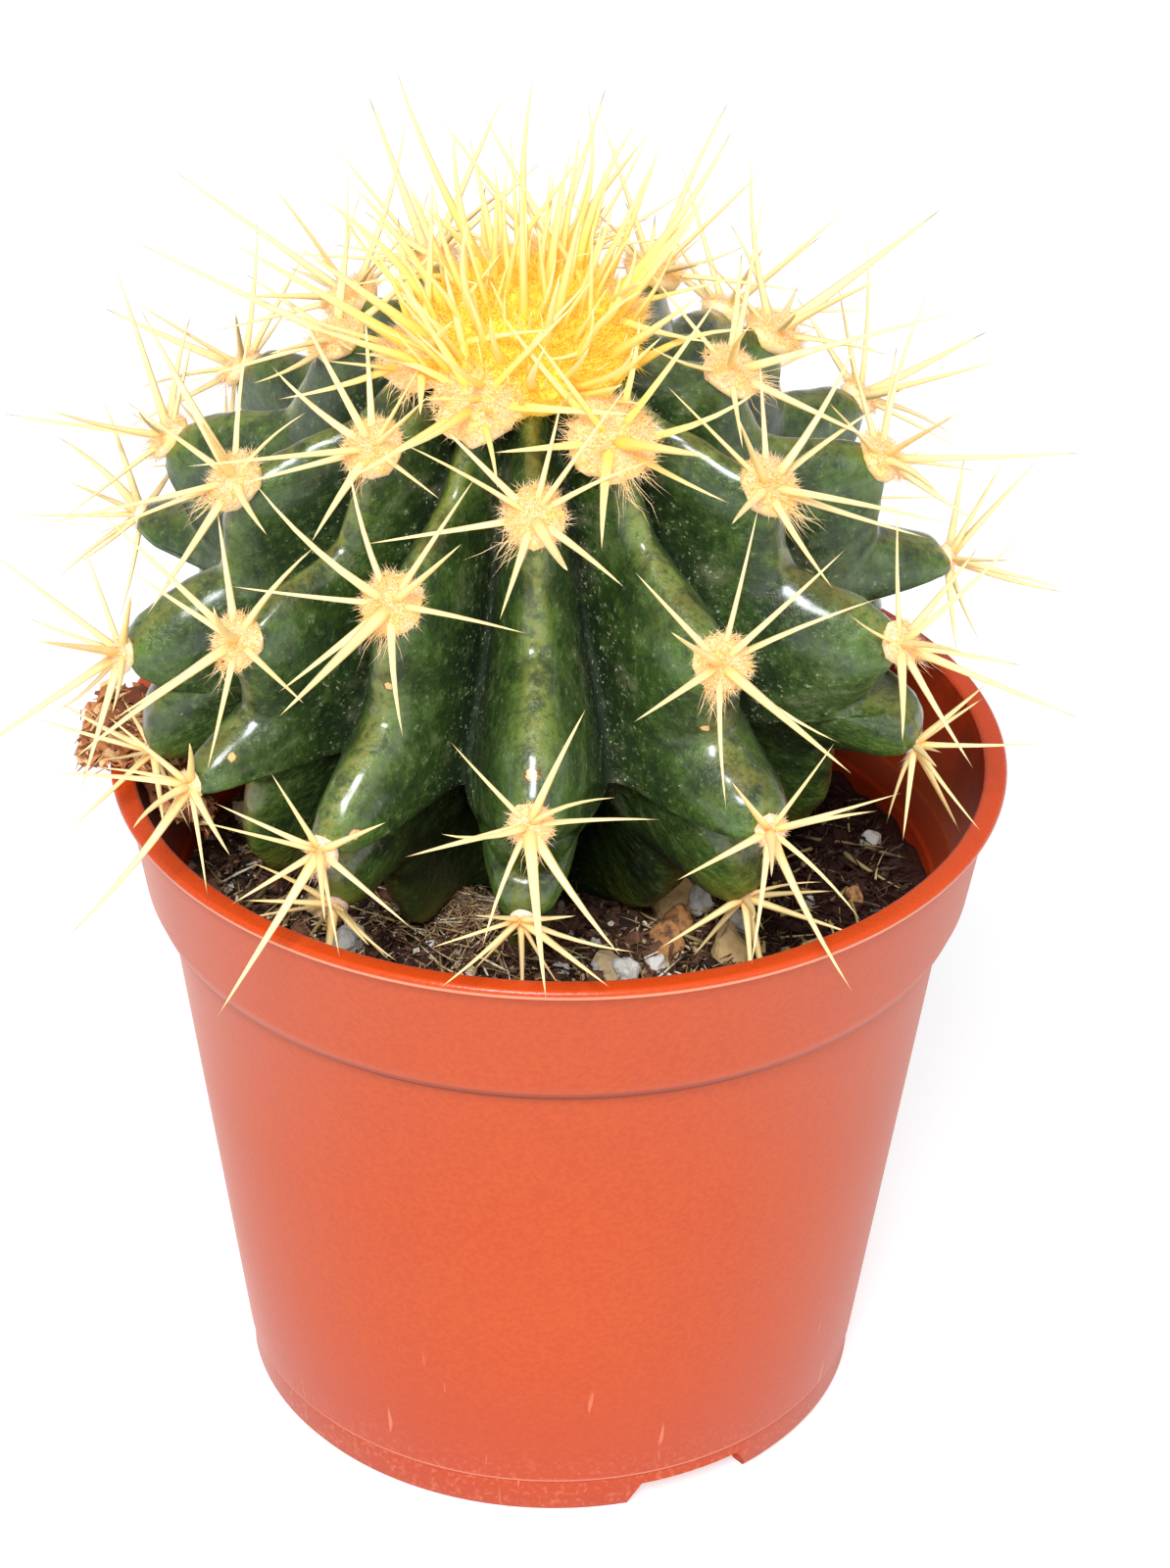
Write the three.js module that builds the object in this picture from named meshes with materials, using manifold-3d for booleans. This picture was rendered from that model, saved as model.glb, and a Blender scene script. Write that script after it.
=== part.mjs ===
import * as THREE from 'three';
import { mergeVertices } from 'three/addons/utils/BufferGeometryUtils.js';
import Module from 'manifold-3d';

// A young round cactus in a small nursery pot. Millimetres, +Z up.

const wasm = await Module();
wasm.setup();

const degree = Math.PI / 180;
const fullTurn = 2 * Math.PI;
const { clamp, seededRandom, smoothstep } = THREE.MathUtils;

// Pot, measured from the surface that it stands on
const potHeight = 69;
const rimRadius = 42.5;
const lipHeight = 1.1;
const lipStep = 0.2;
const lipRound = 0.3;
const collarTopRadius = 41.4;
const collarFootRadius = 39.6;
const collarFoot = 57;
const collarUndercut = 0.7;
const collarUndercutHeight = 0.5;
const bodyTopRadius = 37.6;
const bodyTop = 54.8;
const bodyFootRadius = 30.8;
const footLine = 4.2;
const footRadius = 30.4;
const footBevel = 0.6;
const footBevelHeight = 0.8;
const footLineHeight = 0.3;
const wall = 1.1;
const floorUnderside = 3.2;
const floorTop = 4.6;
const footWall = 2;
const notchCount = 3;
const notchWidth = 11.5;
const notchHeight = 2.6;
const notchSlope = 1.4;
const firstNotch = 28 * degree;
const drainCount = 6;
const drainRadius = 2.6;
const drainCircle = 19;
const drainSides = 14;
const potSides = 48;

// Space between neighbours that touch in the real thing
const gap = 0.35;
const weldDistance = 1e-4;

// Soil
const soilEdge = 52.7;
const soilMound = 3.6;
const soilSides = 40;
const soilRings = 9;
const soilLump = 0.55;
const fineLump = 0.33;
const edgeWave = 0.3;
const moundFoot = 34.5;
const moundTop = 21.5;
const lowSide = 24;
const highSide = -10;
const lowShare = 0.35;
const pebbleCount = 16;
const pebbleCircle = 20;
const pebbleSpread = 13.5;
const holeMouth = 6;
const holeFlare = 14;
const holeSides = 26;

// Plant: its middle, its lean, and the outline that its ribs reach
const plantMiddle = new THREE.Vector3(-2.9, 0, potHeight + 15.9);
const plantLean = new THREE.Euler(12 * degree, -1.3 * degree, 0);
const plantRadius = 39.4;
const plantHalfHeight = 32;
const outlinePower = 1.26;
const neckAngle = 153 * degree;
const neckLength = 7.5;
const neckTaper = 1.2;
const neckBend = 0.15;
const neckClearance = 0.2;
const crownDip = 2.2;
const crownDipReach = 11 * degree;
const reliefStart = 2 * degree;
const reliefFull = 52 * degree;
const reliefEase = 128 * degree;

// Ribs: where each one stands at the widest place, in degrees to the right from the front
const ribHeadings = [0, 33, 66, 98, 125, 151, 177, 203, 230, 251, 289, 311, 333];
const ribCount = ribHeadings.length;
const crownTurn = 4.6;
const ribDepth = 14.5;
const tubercleDip = 4.2;
const tubercleSkew = 0.75;
const tubercleFlatness = 0.7;
const crestSharpness = 1.35;
const saddleSharpness = 1.8;
const columnsPerRib = 6;
const bodyRows = 26;
const firstRing = 5 * degree;

// Areoles: a neighbour's stand 8/13 of a step further down, and each strays a little from that,
// in steps: one line for each rib, from the row by the crown down
const firstAreole = 38 * degree;
const areoleStep = 30.4 * degree;
const lastAreole = 119 * degree;
const crownReach = 27 * degree;
const crownStart = 13 * degree;
const firstRow = -1;
const rowCount = 5;
const areoleStrays = [
  [0, -0.13, 0.18, 0.06, 0],
  [0, 0, -0.06, -0.14, 0],
  [-0.1, -0.09, -0.14, -0.09, -0.1],
  [-0.02, -0.18, -0.1, -0.07, 0],
  [-0.2, -0.2, -0.34, -0.2, -0.2],
  [-0.1, -0.12, -0.1, -0.06, -0.1],
  [0, 0.04, -0.03, 0, 0],
  [0.05, 0, 0.07, 0.05, 0],
  [0.1, 0.14, 0.08, 0.1, 0],
  [0.27, 0.4, 0.27, 0.2, 0.2],
  [0.2, 0.15, 0.22, 0.16, 0.1],
  [0, -0.04, -0.1, 0, 0],
  [0, -0.09, 0.2, -0.02, 0],
];

// Wool and spines
const padRadius = 3.3;
const oldPadRadius = 2.4;
const padHeight = 1.9;
const youngPadRadius = 4.6;
const crownRadius = 11;
const crownHeight = 4.8;
const crownLevel = 29.6;
const padSides = 7;
const crownSides = 16;
const spineRadius = 0.58;
const spineSides = 3;
const radialSpines = 6;
const centralSpines = 3;
const crownSpines = 32;
const crownSpineLength = 12;
const crownSpineSpread = 8;
const longestSpine = 20.5;
const shortestSpine = 14;
const lengthenedUntil = 55 * degree;
const shortenedFrom = 112 * degree;
const padShare = 4.2;
const tipMargin = 0.15;
const soilRoughness = 0.8;

// Dry bark flake that lies over the rim
const flakeHeading = -88 * degree;
const flakeWidth = 13;
const flakeOuter = 45.2;
const flakeInner = 33.5;
const flakeThickness = 2.4;
const flakeCurl = 3.2;
const flakeRaggedness = 1.3;
const flakeCells = 7;

const materials = {
  pot: new THREE.MeshStandardMaterial({ color: 0xcb5230, roughness: 0.5, metalness: 0 }),
  soil: new THREE.MeshStandardMaterial({ color: 0x3a2a20, roughness: 0.95, metalness: 0 }),
  bark: new THREE.MeshStandardMaterial({ color: 0x9a6238, roughness: 0.9, metalness: 0 }),
  skin: new THREE.MeshStandardMaterial({ color: 0x27502f, roughness: 0.35, metalness: 0 }),
  wool: new THREE.MeshStandardMaterial({ color: 0xf0c848, roughness: 0.9, metalness: 0 }),
  spine: new THREE.MeshStandardMaterial({ color: 0xf2dc86, roughness: 0.55, metalness: 0 }),
};

// Seeded random number in a range
function between(low, high) {
  return low + (high - low) * seededRandom();
}

// Closed solid from a three.js geometry
function solidOf(geometry) {
  const bare = geometry.clone();
  bare.deleteAttribute('normal');
  bare.deleteAttribute('uv');
  const merged = mergeVertices(bare, weldDistance);
  const position = merged.getAttribute('position');
  const corners = Array.from(merged.index.array);
  const triangles = [];
  let volume = 0;
  const a = new THREE.Vector3();
  const b = new THREE.Vector3();
  const c = new THREE.Vector3();
  for (let i = 0; i < corners.length; i += 3) {
    const [p, q, r] = corners.slice(i, i + 3);
    if (p === q || q === r || r === p) continue;
    a.fromBufferAttribute(position, p);
    b.fromBufferAttribute(position, q);
    c.fromBufferAttribute(position, r);
    volume += a.dot(b.cross(c));
    triangles.push(p, q, r);
  }
  if (volume < 0) triangles.reverse();
  return new wasm.Manifold(new wasm.Mesh({
    numProp: 3,
    vertProperties: Float32Array.from(position.array),
    triVerts: Uint32Array.from(triangles),
  }));
}

function geometryOf(solid) {
  const mesh = solid.getMesh();
  const geometry = new THREE.BufferGeometry();
  geometry.setAttribute('position', new THREE.BufferAttribute(mesh.vertProperties, 3));
  geometry.setIndex(new THREE.BufferAttribute(mesh.triVerts, 1));
  geometry.computeVertexNormals();
  return geometry;
}

function meshOf(name, solid, material) {
  const mesh = new THREE.Mesh(geometryOf(solid), material.clone());
  mesh.name = name;
  return mesh;
}

function largestPiece(solid) {
  const pieces = solid.decompose();
  return pieces.reduce((best, piece) => (piece.volume() > best.volume() ? piece : best));
}

// A profile of [radius, height] points turned about the upright axis
function turned(profile, sides) {
  const points = profile.map(([radius, height]) => new THREE.Vector2(radius, height));
  return new THREE.LatheGeometry(points, sides).rotateX(Math.PI / 2);
}

// Pot

const lipFoot = potHeight - lipHeight;
const innerRimRadius = collarTopRadius - wall;
const innerCollarFoot = collarFoot - wall;
const innerBodyTop = bodyTop - wall;

function potBodyRadius(height) {
  const share = (height - footLine) / (bodyTop - footLine);
  return bodyFootRadius + (bodyTopRadius - bodyFootRadius) * share;
}

function collarRadius(height) {
  const share = (height - collarFoot) / (lipFoot - collarFoot);
  return collarFootRadius + (collarTopRadius - collarFootRadius) * share;
}

function potOuterProfile() {
  return [
    [footRadius - footBevel, 0],
    [footRadius, footBevelHeight],
    [footRadius, footLine - footLineHeight],
    [bodyFootRadius, footLine],
    [bodyTopRadius, bodyTop],
    [collarFootRadius - collarUndercut, bodyTop + collarUndercutHeight],
    [collarFootRadius, collarFoot],
    [collarTopRadius, lipFoot],
    [rimRadius, lipFoot + lipStep],
    [rimRadius, potHeight - lipRound],
    [rimRadius - lipRound, potHeight],
  ];
}

function potInnerProfile() {
  return [
    [innerRimRadius, potHeight],
    [collarRadius(innerCollarFoot) - wall, innerCollarFoot],
    [potBodyRadius(innerBodyTop) - wall, innerBodyTop],
    [potBodyRadius(floorTop) - wall, floorTop],
  ];
}

function pot() {
  const profile = [
    [0, floorUnderside],
    [footRadius - footWall, floorUnderside],
    [footRadius - footWall, 0],
    ...potOuterProfile(),
    ...potInnerProfile(),
    [0, floorTop],
  ];
  const cuts = [];
  for (let i = 0; i < notchCount; i += 1) {
    cuts.push(footNotch(firstNotch + i * fullTurn / notchCount));
  }
  for (let i = 0; i < drainCount; i += 1) {
    cuts.push(drainHole((i + 0.5) * fullTurn / drainCount));
  }
  const body = solidOf(turned(profile, potSides)).subtract(wasm.Manifold.union(cuts));
  return meshOf('pot', body, materials.pot);
}

// Heading 0 faces the front, which is -Y, and grows to the right
function outward(heading) {
  return new THREE.Vector3(Math.sin(heading), -Math.cos(heading), 0);
}

function footNotch(heading) {
  const outline = new THREE.Shape();
  outline.moveTo(-notchWidth / 2 - notchSlope, -notchHeight);
  outline.lineTo(notchWidth / 2 + notchSlope, -notchHeight);
  outline.lineTo(notchWidth / 2, notchHeight);
  outline.lineTo(-notchWidth / 2, notchHeight);
  const depth = 4 * footWall;
  const geometry = new THREE.ExtrudeGeometry(outline, { depth, bevelEnabled: false });
  geometry.rotateX(Math.PI / 2);
  geometry.translate(0, -(footRadius - 2 * footWall), 0);
  geometry.rotateZ(heading);
  return solidOf(geometry);
}

function drainHole(heading) {
  const geometry = new THREE.CylinderGeometry(drainRadius, drainRadius, floorTop, drainSides);
  geometry.rotateX(Math.PI / 2);
  const place = outward(heading).multiplyScalar(drainCircle);
  geometry.translate(place.x, place.y, floorTop);
  return solidOf(geometry);
}

// Inner wall of the pot at a height, and its outer wall
function potInnerRadius(height) {
  if (height > innerCollarFoot) return collarRadius(height) - wall;
  return potBodyRadius(Math.min(height, innerBodyTop)) - wall;
}

function potOuterRadius(height) {
  if (height > lipFoot - lipStep) return rimRadius;
  if (height > bodyTop) return collarRadius(Math.max(height, collarFoot));
  return potBodyRadius(height);
}

// Soil

const pebbles = scatterPebbles();

function scatterPebbles() {
  seededRandom(41);
  return Array.from({ length: pebbleCount }, () => {
    const radius = pebbleCircle + pebbleSpread * seededRandom();
    const place = outward(fullTurn * seededRandom()).multiplyScalar(radius);
    return { x: place.x, y: place.y, size: between(1.3, 2.8), rise: between(0.7, 1.8) };
  });
}

// Level ground by the wall, a mound round the plant, lower at the right, lumps and pebbles
function soilHeight(x, y) {
  const mound = smoothstep(moundFoot - Math.hypot(x, y), 0, moundFoot - moundTop);
  const side = smoothstep(lowSide - x, 0, lowSide - highSide);
  let height = soilEdge + soilMound * mound * (lowShare + (1 - lowShare) * side);
  height += soilLump * Math.sin(0.53 * x + 1.1) * Math.sin(0.47 * y - 0.6);
  height += fineLump * Math.sin(1.13 * x - 0.83 * y);
  for (const pebble of pebbles) {
    const reach = Math.hypot(x - pebble.x, y - pebble.y) / pebble.size;
    height += pebble.rise * Math.exp(-reach * reach);
  }
  return height;
}

function soil() {
  const edge = potBodyRadius(soilEdge) - wall - gap;
  const foot = potBodyRadius(floorTop + gap) - wall - gap;
  const profile = [[0, floorTop + gap], [foot, floorTop + gap], [edge, soilEdge]];
  for (let ring = soilRings - 1; ring >= 0; ring -= 1) {
    profile.push([edge * ring / soilRings, soilEdge]);
  }
  const geometry = turned(profile, soilSides);
  const position = geometry.getAttribute('position');
  for (let i = 0; i < position.count; i += 1) {
    if (position.getZ(i) < soilEdge - weldDistance) continue;
    const x = position.getX(i);
    const y = position.getY(i);
    const inside = Math.hypot(x, y) < edge - gap;
    const waved = soilEdge + edgeWave * Math.sin(5 * Math.atan2(y, x));
    position.setZ(i, inside ? soilHeight(x, y) : waved);
  }
  const ground = solidOf(geometry).subtract(plantHole());
  return meshOf('soil', largestPiece(ground), materials.soil);
}

// Plain round hole for the plant's neck, opening like a funnel above it
function plantHole() {
  const neck = outlinePoint(neckAngle);
  const radius = neck.radius + gap + neckClearance;
  const foot = neck.height - neckLength - gap;
  const geometry = turned([
    [0, foot],
    [radius, foot],
    [radius, neck.height - 1.5],
    [radius + holeFlare, neck.height + holeMouth],
    [0, neck.height + holeMouth],
  ], holeSides);
  geometry.applyMatrix4(plantMatrix);
  return solidOf(geometry);
}

// Plant body

const plantMatrix = new THREE.Matrix4().compose(
  plantMiddle,
  new THREE.Quaternion().setFromEuler(plantLean),
  new THREE.Vector3(1, 1, 1),
);

function signedPower(value, power) {
  return Math.sign(value) * Math.abs(value) ** power;
}

// Outline that the rib crests reach, by its angle from the crown
function outlinePoint(angle) {
  const dip = crownDip * Math.exp(-((angle / crownDipReach) ** 2));
  return {
    radius: plantRadius * signedPower(Math.sin(angle), outlinePower),
    height: plantHalfHeight * signedPower(Math.cos(angle), outlinePower) - dip,
  };
}

// Outward direction of the outline as [sideways, upwards]
function outlineNormal(angle) {
  const step = 0.02;
  const before = outlinePoint(Math.max(angle - step, 0.03));
  const after = outlinePoint(angle + step);
  const normal = new THREE.Vector2(before.height - after.height, after.radius - before.radius);
  return normal.normalize();
}

function ribHeading(rib, angle) {
  const turn = Math.floor(rib / ribCount);
  const index = rib - turn * ribCount;
  const atCrown = crownTurn + index * 360 / ribCount;
  const stray = ribHeadings[index] - atCrown;
  return (atCrown + stray * Math.min(angle / (90 * degree), 1.3) + 360 * turn) * degree;
}

// Angle from the crown of each areole of each rib, the first row lying inside the crown
const areoleAngles = areoleStrays.map((strays, rib) => strays.map((stray, i) => {
  const shift = (8 * rib / ribCount) % 1;
  return firstAreole + areoleStep * (firstRow + i + shift + stray);
}));

// 1 at an areole and 0 in the saddle that follows it down the rib
function tubercle(rib, angle) {
  const angles = areoleAngles[((rib % ribCount) + ribCount) % ribCount];
  let row = angles.findLastIndex((other) => other <= angle);
  row = clamp(row, 0, rowCount - 2);
  const place = (angle - angles[row]) / (angles[row + 1] - angles[row]);
  const share = (place - Math.floor(place)) ** tubercleSkew;
  return (0.5 + 0.5 * Math.cos(fullTurn * share)) ** tubercleFlatness;
}

// Depth below the outline: across is 0 on the crest and 1 in the groove
function reliefDepth(rib, across, angle) {
  const fadeIn = smoothstep(angle, reliefStart, reliefFull);
  const fadeOut = 1 - smoothstep(angle, reliefEase, neckAngle);
  const strength = fadeIn * fadeOut;
  const nose = tubercle(rib, angle);
  const groove = across ** (saddleSharpness + (crestSharpness - saddleSharpness) * nose);
  const saddle = (1 - nose) * (1 - groove);
  return strength * (ribDepth * groove + tubercleDip * saddle);
}

// Column 0 is rib 0's crest, and a groove lies halfway to the next crest
function skinPoint(column, angle) {
  const rib = column / columnsPerRib;
  const near = Math.round(rib);
  const across = Math.abs(rib - near) * 2;
  const left = Math.floor(rib);
  const share = rib - left;
  const heading = ribHeading(left, angle) * (1 - share) + ribHeading(left + 1, angle) * share;
  const outline = outlinePoint(angle);
  const normal = outlineNormal(angle);
  const depth = reliefDepth(near, across, angle);
  const radius = outline.radius - depth * normal.x;
  const point = outward(heading).multiplyScalar(radius);
  point.z = outline.height - depth * normal.y;
  return point;
}

// The body's rings run from just under the apex to the foot of the neck
function bodyGeometry() {
  const columns = ribCount * columnsPerRib;
  const neck = outlinePoint(neckAngle);
  const apex = new THREE.Vector3(0, 0, outlinePoint(0).height);
  const foot = new THREE.Vector3(0, 0, neck.height - neckLength);
  const rings = [() => apex];
  for (let row = 0; row < bodyRows; row += 1) {
    const angle = firstRing + (neckAngle - firstRing) * row / (bodyRows - 1);
    rings.push((column) => skinPoint(column, angle));
  }
  for (const share of [neckBend, 1]) {
    const radius = neck.radius - neckTaper * share;
    const height = neck.height - neckLength * share;
    rings.push((column) => skinPoint(column, neckAngle).setZ(0).setLength(radius).setZ(height));
  }
  rings.push(() => foot);
  const sheet = new THREE.PlaneGeometry(1, 1, columns, rings.length - 1);
  const position = sheet.getAttribute('position');
  rings.forEach((pointAt, row) => {
    for (let column = 0; column <= columns; column += 1) {
      const point = pointAt(column % columns);
      position.setXYZ(row * (columns + 1) + column, point.x, point.y, point.z);
    }
  });
  return sheet;
}

// The same skin moved outwards, which trims whatever sits on the plant
function bodyClearance(distance) {
  const geometry = bodyGeometry();
  geometry.deleteAttribute('normal');
  geometry.deleteAttribute('uv');
  const merged = mergeVertices(geometry, weldDistance);
  merged.computeVertexNormals();
  const position = merged.getAttribute('position');
  const normals = merged.getAttribute('normal');
  const reach = normals.getZ(0) < 0 ? -distance : distance;
  const point = new THREE.Vector3();
  const normal = new THREE.Vector3();
  for (let i = 0; i < position.count; i += 1) {
    normal.fromBufferAttribute(normals, i);
    point.fromBufferAttribute(position, i).addScaledVector(normal, reach);
    position.setXYZ(i, point.x, point.y, point.z);
  }
  return merged;
}

// Spines

const skinSamples = sampleSkin();

// Points on the skin with their outward directions
function sampleSkin() {
  const samples = [];
  const nudge = 0.01;
  const angleStep = 4.5 * degree;
  for (let column = 0; column < ribCount * columnsPerRib; column += 1) {
    for (let angle = firstRing; angle < neckAngle; angle += angleStep) {
      const point = skinPoint(column, angle);
      const along = skinPoint(column, angle + nudge).sub(point);
      const across = skinPoint(column + nudge, angle).sub(point);
      samples.push({ point, normal: along.cross(across).normalize() });
    }
  }
  return samples;
}

function heightAboveSkin(point) {
  let best = Infinity;
  let nearest = null;
  for (const sample of skinSamples) {
    const distance = sample.point.distanceToSquared(point);
    if (distance >= best) continue;
    best = distance;
    nearest = sample;
  }
  return point.clone().sub(nearest.point).dot(nearest.normal);
}

// Shortest distance between two spines, and how far along each it is found
function closestApproach(first, second) {
  const u = first.tip.clone().sub(first.root);
  const v = second.tip.clone().sub(second.root);
  const w = first.root.clone().sub(second.root);
  const uu = u.dot(u);
  const uv = u.dot(v);
  const vv = v.dot(v);
  const uw = u.dot(w);
  const vw = v.dot(w);
  const spread = uu * vv - uv * uv;
  let s = spread > 0 ? clamp((uv * vw - vv * uw) / spread, 0, 1) : 0;
  let t = clamp((uv * s + vw) / vv, 0, 1);
  s = clamp((uv * t - uw) / uu, 0, 1);
  t = clamp((uv * s + vw) / vv, 0, 1);
  const distance = w.addScaledVector(u, s).addScaledVector(v, -t).length();
  return { distance, s, t };
}

function clearOfSpines(spine, placed) {
  for (const other of placed) {
    if (other.group === spine.group) continue;
    const { distance, s, t } = closestApproach(spine, other);
    const thickness = spineRadius * (2 - s - t);
    if (distance < thickness + gap) return false;
  }
  return true;
}

function distanceToSpine(point, spine) {
  const line = new THREE.Line3(spine.root, spine.tip);
  return line.closestPointToPoint(point, true, new THREE.Vector3()).distanceTo(point);
}

function clearOfPads(spine, pads) {
  for (const pad of pads) {
    if (pad.group === spine.group) continue;
    if (distanceToSpine(pad.centre, spine) < pad.radius + spineRadius + gap) return false;
  }
  return true;
}

// Past its own wool a spine keeps off the skin, the pot, the soil and the flake
function clearOfSurroundings(spine) {
  const start = padShare / spine.tip.distanceTo(spine.root);
  const shareStep = 0.09;
  const place = new THREE.Vector3();
  for (let share = start; share <= 1; share += shareStep) {
    const margin = spineRadius * (1 - share) + gap + tipMargin;
    place.copy(spine.root).lerp(spine.tip, share);
    if (heightAboveSkin(place) < margin) return false;
    place.applyMatrix4(plantMatrix);
    if (insideFlake(place, margin) || insidePotOrSoil(place, margin)) return false;
  }
  return true;
}

function insidePotOrSoil(place, margin) {
  const radius = Math.hypot(place.x, place.y);
  if (place.z > potHeight + margin) return false;
  if (radius > potOuterRadius(place.z) + margin) return false;
  if (radius > potInnerRadius(place.z) - margin) return true;
  return place.z < soilHeight(place.x, place.y) + soilRoughness + margin;
}

function insideFlake(place, margin) {
  const heading = Math.atan2(place.x, -place.y);
  const radius = Math.hypot(place.x, place.y);
  const reach = margin + flakeRaggedness;
  if (Math.abs(heading - flakeHeading) * radius > flakeWidth / 2 + reach) return false;
  if (radius < flakeInner - reach || radius > flakeOuter + reach) return false;
  const height = place.z - flakeBottom(radius);
  return height > -reach && height < flakeThickness + flakeRaggedness + reach;
}

// Turns a direction by an angle about a random axis
function strayed(direction, amount) {
  const axis = new THREE.Vector3(between(-1, 1), between(-1, 1), between(-1, 1));
  axis.cross(direction).normalize();
  return direction.clone().applyAxisAngle(axis, between(-amount, amount));
}

// Tries the wished direction first, then turns away and shortens until the spine is clear
function placeSpine(wish, placed, pads) {
  const attempts = 40;
  const fullLengthAttempts = 14;
  for (let attempt = 0; attempt < attempts; attempt += 1) {
    const turn = attempt === 0 ? 0 : (6 + 1.1 * attempt) * degree;
    const direction = strayed(wish.direction, turn);
    const length = wish.length * (1 - 0.018 * Math.max(attempt - fullLengthAttempts, 0));
    const spine = {
      root: wish.root,
      tip: wish.root.clone().addScaledVector(direction, length),
      group: wish.group,
    };
    const clear = clearOfSpines(spine, placed) && clearOfPads(spine, pads);
    if (clear && clearOfSurroundings(spine)) {
      placed.push(spine);
      return spine;
    }
  }
  return null;
}

function spineGeometry(spine) {
  const direction = spine.tip.clone().sub(spine.root);
  const length = direction.length();
  const geometry = new THREE.ConeGeometry(spineRadius, length, spineSides, 1);
  geometry.translate(0, length / 2, 0);
  return stoodUp(geometry, spine.root, direction.normalize());
}

// Turns a geometry's own upright axis into a direction and moves it to its place
function stoodUp(geometry, place, direction) {
  const upright = new THREE.Vector3(0, 1, 0);
  geometry.applyQuaternion(new THREE.Quaternion().setFromUnitVectors(upright, direction));
  geometry.translate(place.x, place.y, place.z);
  return geometry;
}

// Areoles

function listAreoles() {
  const list = [];
  areoleAngles.forEach((angles, rib) => {
    const grown = angles.filter((angle) => angle >= crownStart && angle <= lastAreole);
    grown.forEach((angle, i) => {
      const young = angle < crownReach;
      const name = `areole_${String(rib + 1).padStart(2, '0')}_${i + 1}`;
      list.push({ ...areoleFrame(rib, angle), angle, young, group: young ? 'crown' : name });
    });
  });
  return list.sort((first, second) => first.angle - second.angle);
}

// Place, outward direction and the direction down the rib
function areoleFrame(rib, angle) {
  const column = rib * columnsPerRib;
  const place = skinPoint(column, angle);
  const slope = outlineNormal(angle);
  const normal = outward(ribHeading(rib, angle)).multiplyScalar(slope.x);
  normal.z = slope.y;
  const step = 3 * degree;
  const down = skinPoint(column, angle + step).sub(skinPoint(column, angle - step));
  down.addScaledVector(normal, -down.dot(normal)).normalize();
  return { place, normal, down };
}

// Wide wool on young areoles, worn small on old ones
function padSize(areole) {
  if (areole.young) return youngPadRadius;
  const age = smoothstep(areole.angle, 60 * degree, 110 * degree);
  return padRadius + (oldPadRadius - padRadius) * age;
}

function padGeometry(areole) {
  const geometry = new THREE.SphereGeometry(1, padSides, 4);
  const radius = padSize(areole);
  geometry.scale(radius, padHeight, radius);
  return stoodUp(geometry, areole.place, areole.normal);
}

// Long spines high on the plant, short ones by the soil
function spineLength(angle) {
  const share = smoothstep(angle, lengthenedUntil, shortenedFrom);
  return longestSpine + (shortestSpine - longestSpine) * share;
}

// Central spines stand up from the wool, and radial spines lie low round them
function areoleWishes(areole) {
  const wishes = [];
  const side = areole.normal.clone().cross(areole.down);
  const root = areole.place.clone().addScaledVector(areole.normal, 0.2);
  const longest = spineLength(areole.angle);
  const add = (turn, tilt, length) => {
    const direction = areole.down.clone().multiplyScalar(Math.cos(turn));
    direction.addScaledVector(side, Math.sin(turn)).multiplyScalar(Math.sin(tilt));
    direction.addScaledVector(areole.normal, Math.cos(tilt)).normalize();
    wishes.push({ root, direction, length, group: areole.group });
  };
  const start = between(-0.25, 0.25);
  for (let i = 0; i < centralSpines; i += 1) {
    const turn = start + i * fullTurn / centralSpines;
    const length = longest * (i === 0 ? 1 : 0.8) * between(0.9, 1.06);
    add(turn, between(32, 48) * degree, length);
  }
  for (let i = 0; i < radialSpines; i += 1) {
    const turn = start + (i + 0.5) * fullTurn / radialSpines;
    add(turn, between(66, 80) * degree, longest * between(0.56, 0.76));
  }
  return wishes;
}

// Upright in the middle and leaning outwards round it
function crownWishes() {
  const goldenAngle = Math.PI * (3 - Math.sqrt(5));
  return Array.from({ length: crownSpines }, (_, i) => {
    const share = (i + 0.5) / crownSpines;
    const away = outward(i * goldenAngle);
    const tilt = (between(6, 14) + 40 * share) * degree;
    const root = away.clone().multiplyScalar(0.82 * crownRadius * Math.sqrt(share));
    root.z = crownLevel + 1;
    const direction = away.multiplyScalar(Math.sin(tilt)).setZ(Math.cos(tilt));
    const length = crownSpineLength + crownSpineSpread * seededRandom();
    return { root, direction, length, group: 'crown' };
  });
}

function crownWool() {
  const geometry = new THREE.SphereGeometry(1, crownSides, 7);
  geometry.scale(crownRadius, crownHeight, crownRadius);
  geometry.rotateX(Math.PI / 2);
  geometry.translate(0, 0, crownLevel);
  return geometry;
}

function fused(geometries, clearance) {
  const whole = wasm.Manifold.union(geometries.map(solidOf));
  return largestPiece(whole.subtract(clearance));
}

// The crown with the young areoles that touch it, then each older areole by itself
function spinyNodes() {
  seededRandom(7);
  const areoles = listAreoles();
  const pads = areoles.map((areole) => (
    { centre: areole.place, radius: padSize(areole), group: areole.group }
  ));
  const crownMiddle = new THREE.Vector3(0, 0, crownLevel - 4);
  pads.push({ centre: crownMiddle, radius: crownRadius, group: 'crown' });
  const placed = [];
  const grow = (wishes) => {
    const spines = wishes.map((wish) => placeSpine(wish, placed, pads));
    return spines.filter(Boolean).map(spineGeometry);
  };
  const clearance = solidOf(bodyClearance(gap + 0.1));
  const crownParts = [crownWool(), ...grow(crownWishes())];
  const nodes = [];
  for (const areole of areoles) {
    const parts = [padGeometry(areole), ...grow(areoleWishes(areole))];
    if (areole.young) crownParts.push(...parts);
    else nodes.push(meshOf(areole.group, fused(parts, clearance), materials.spine));
  }
  nodes.unshift(meshOf('crown', fused(crownParts, clearance), materials.wool));
  return nodes;
}

// Bark flake

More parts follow.
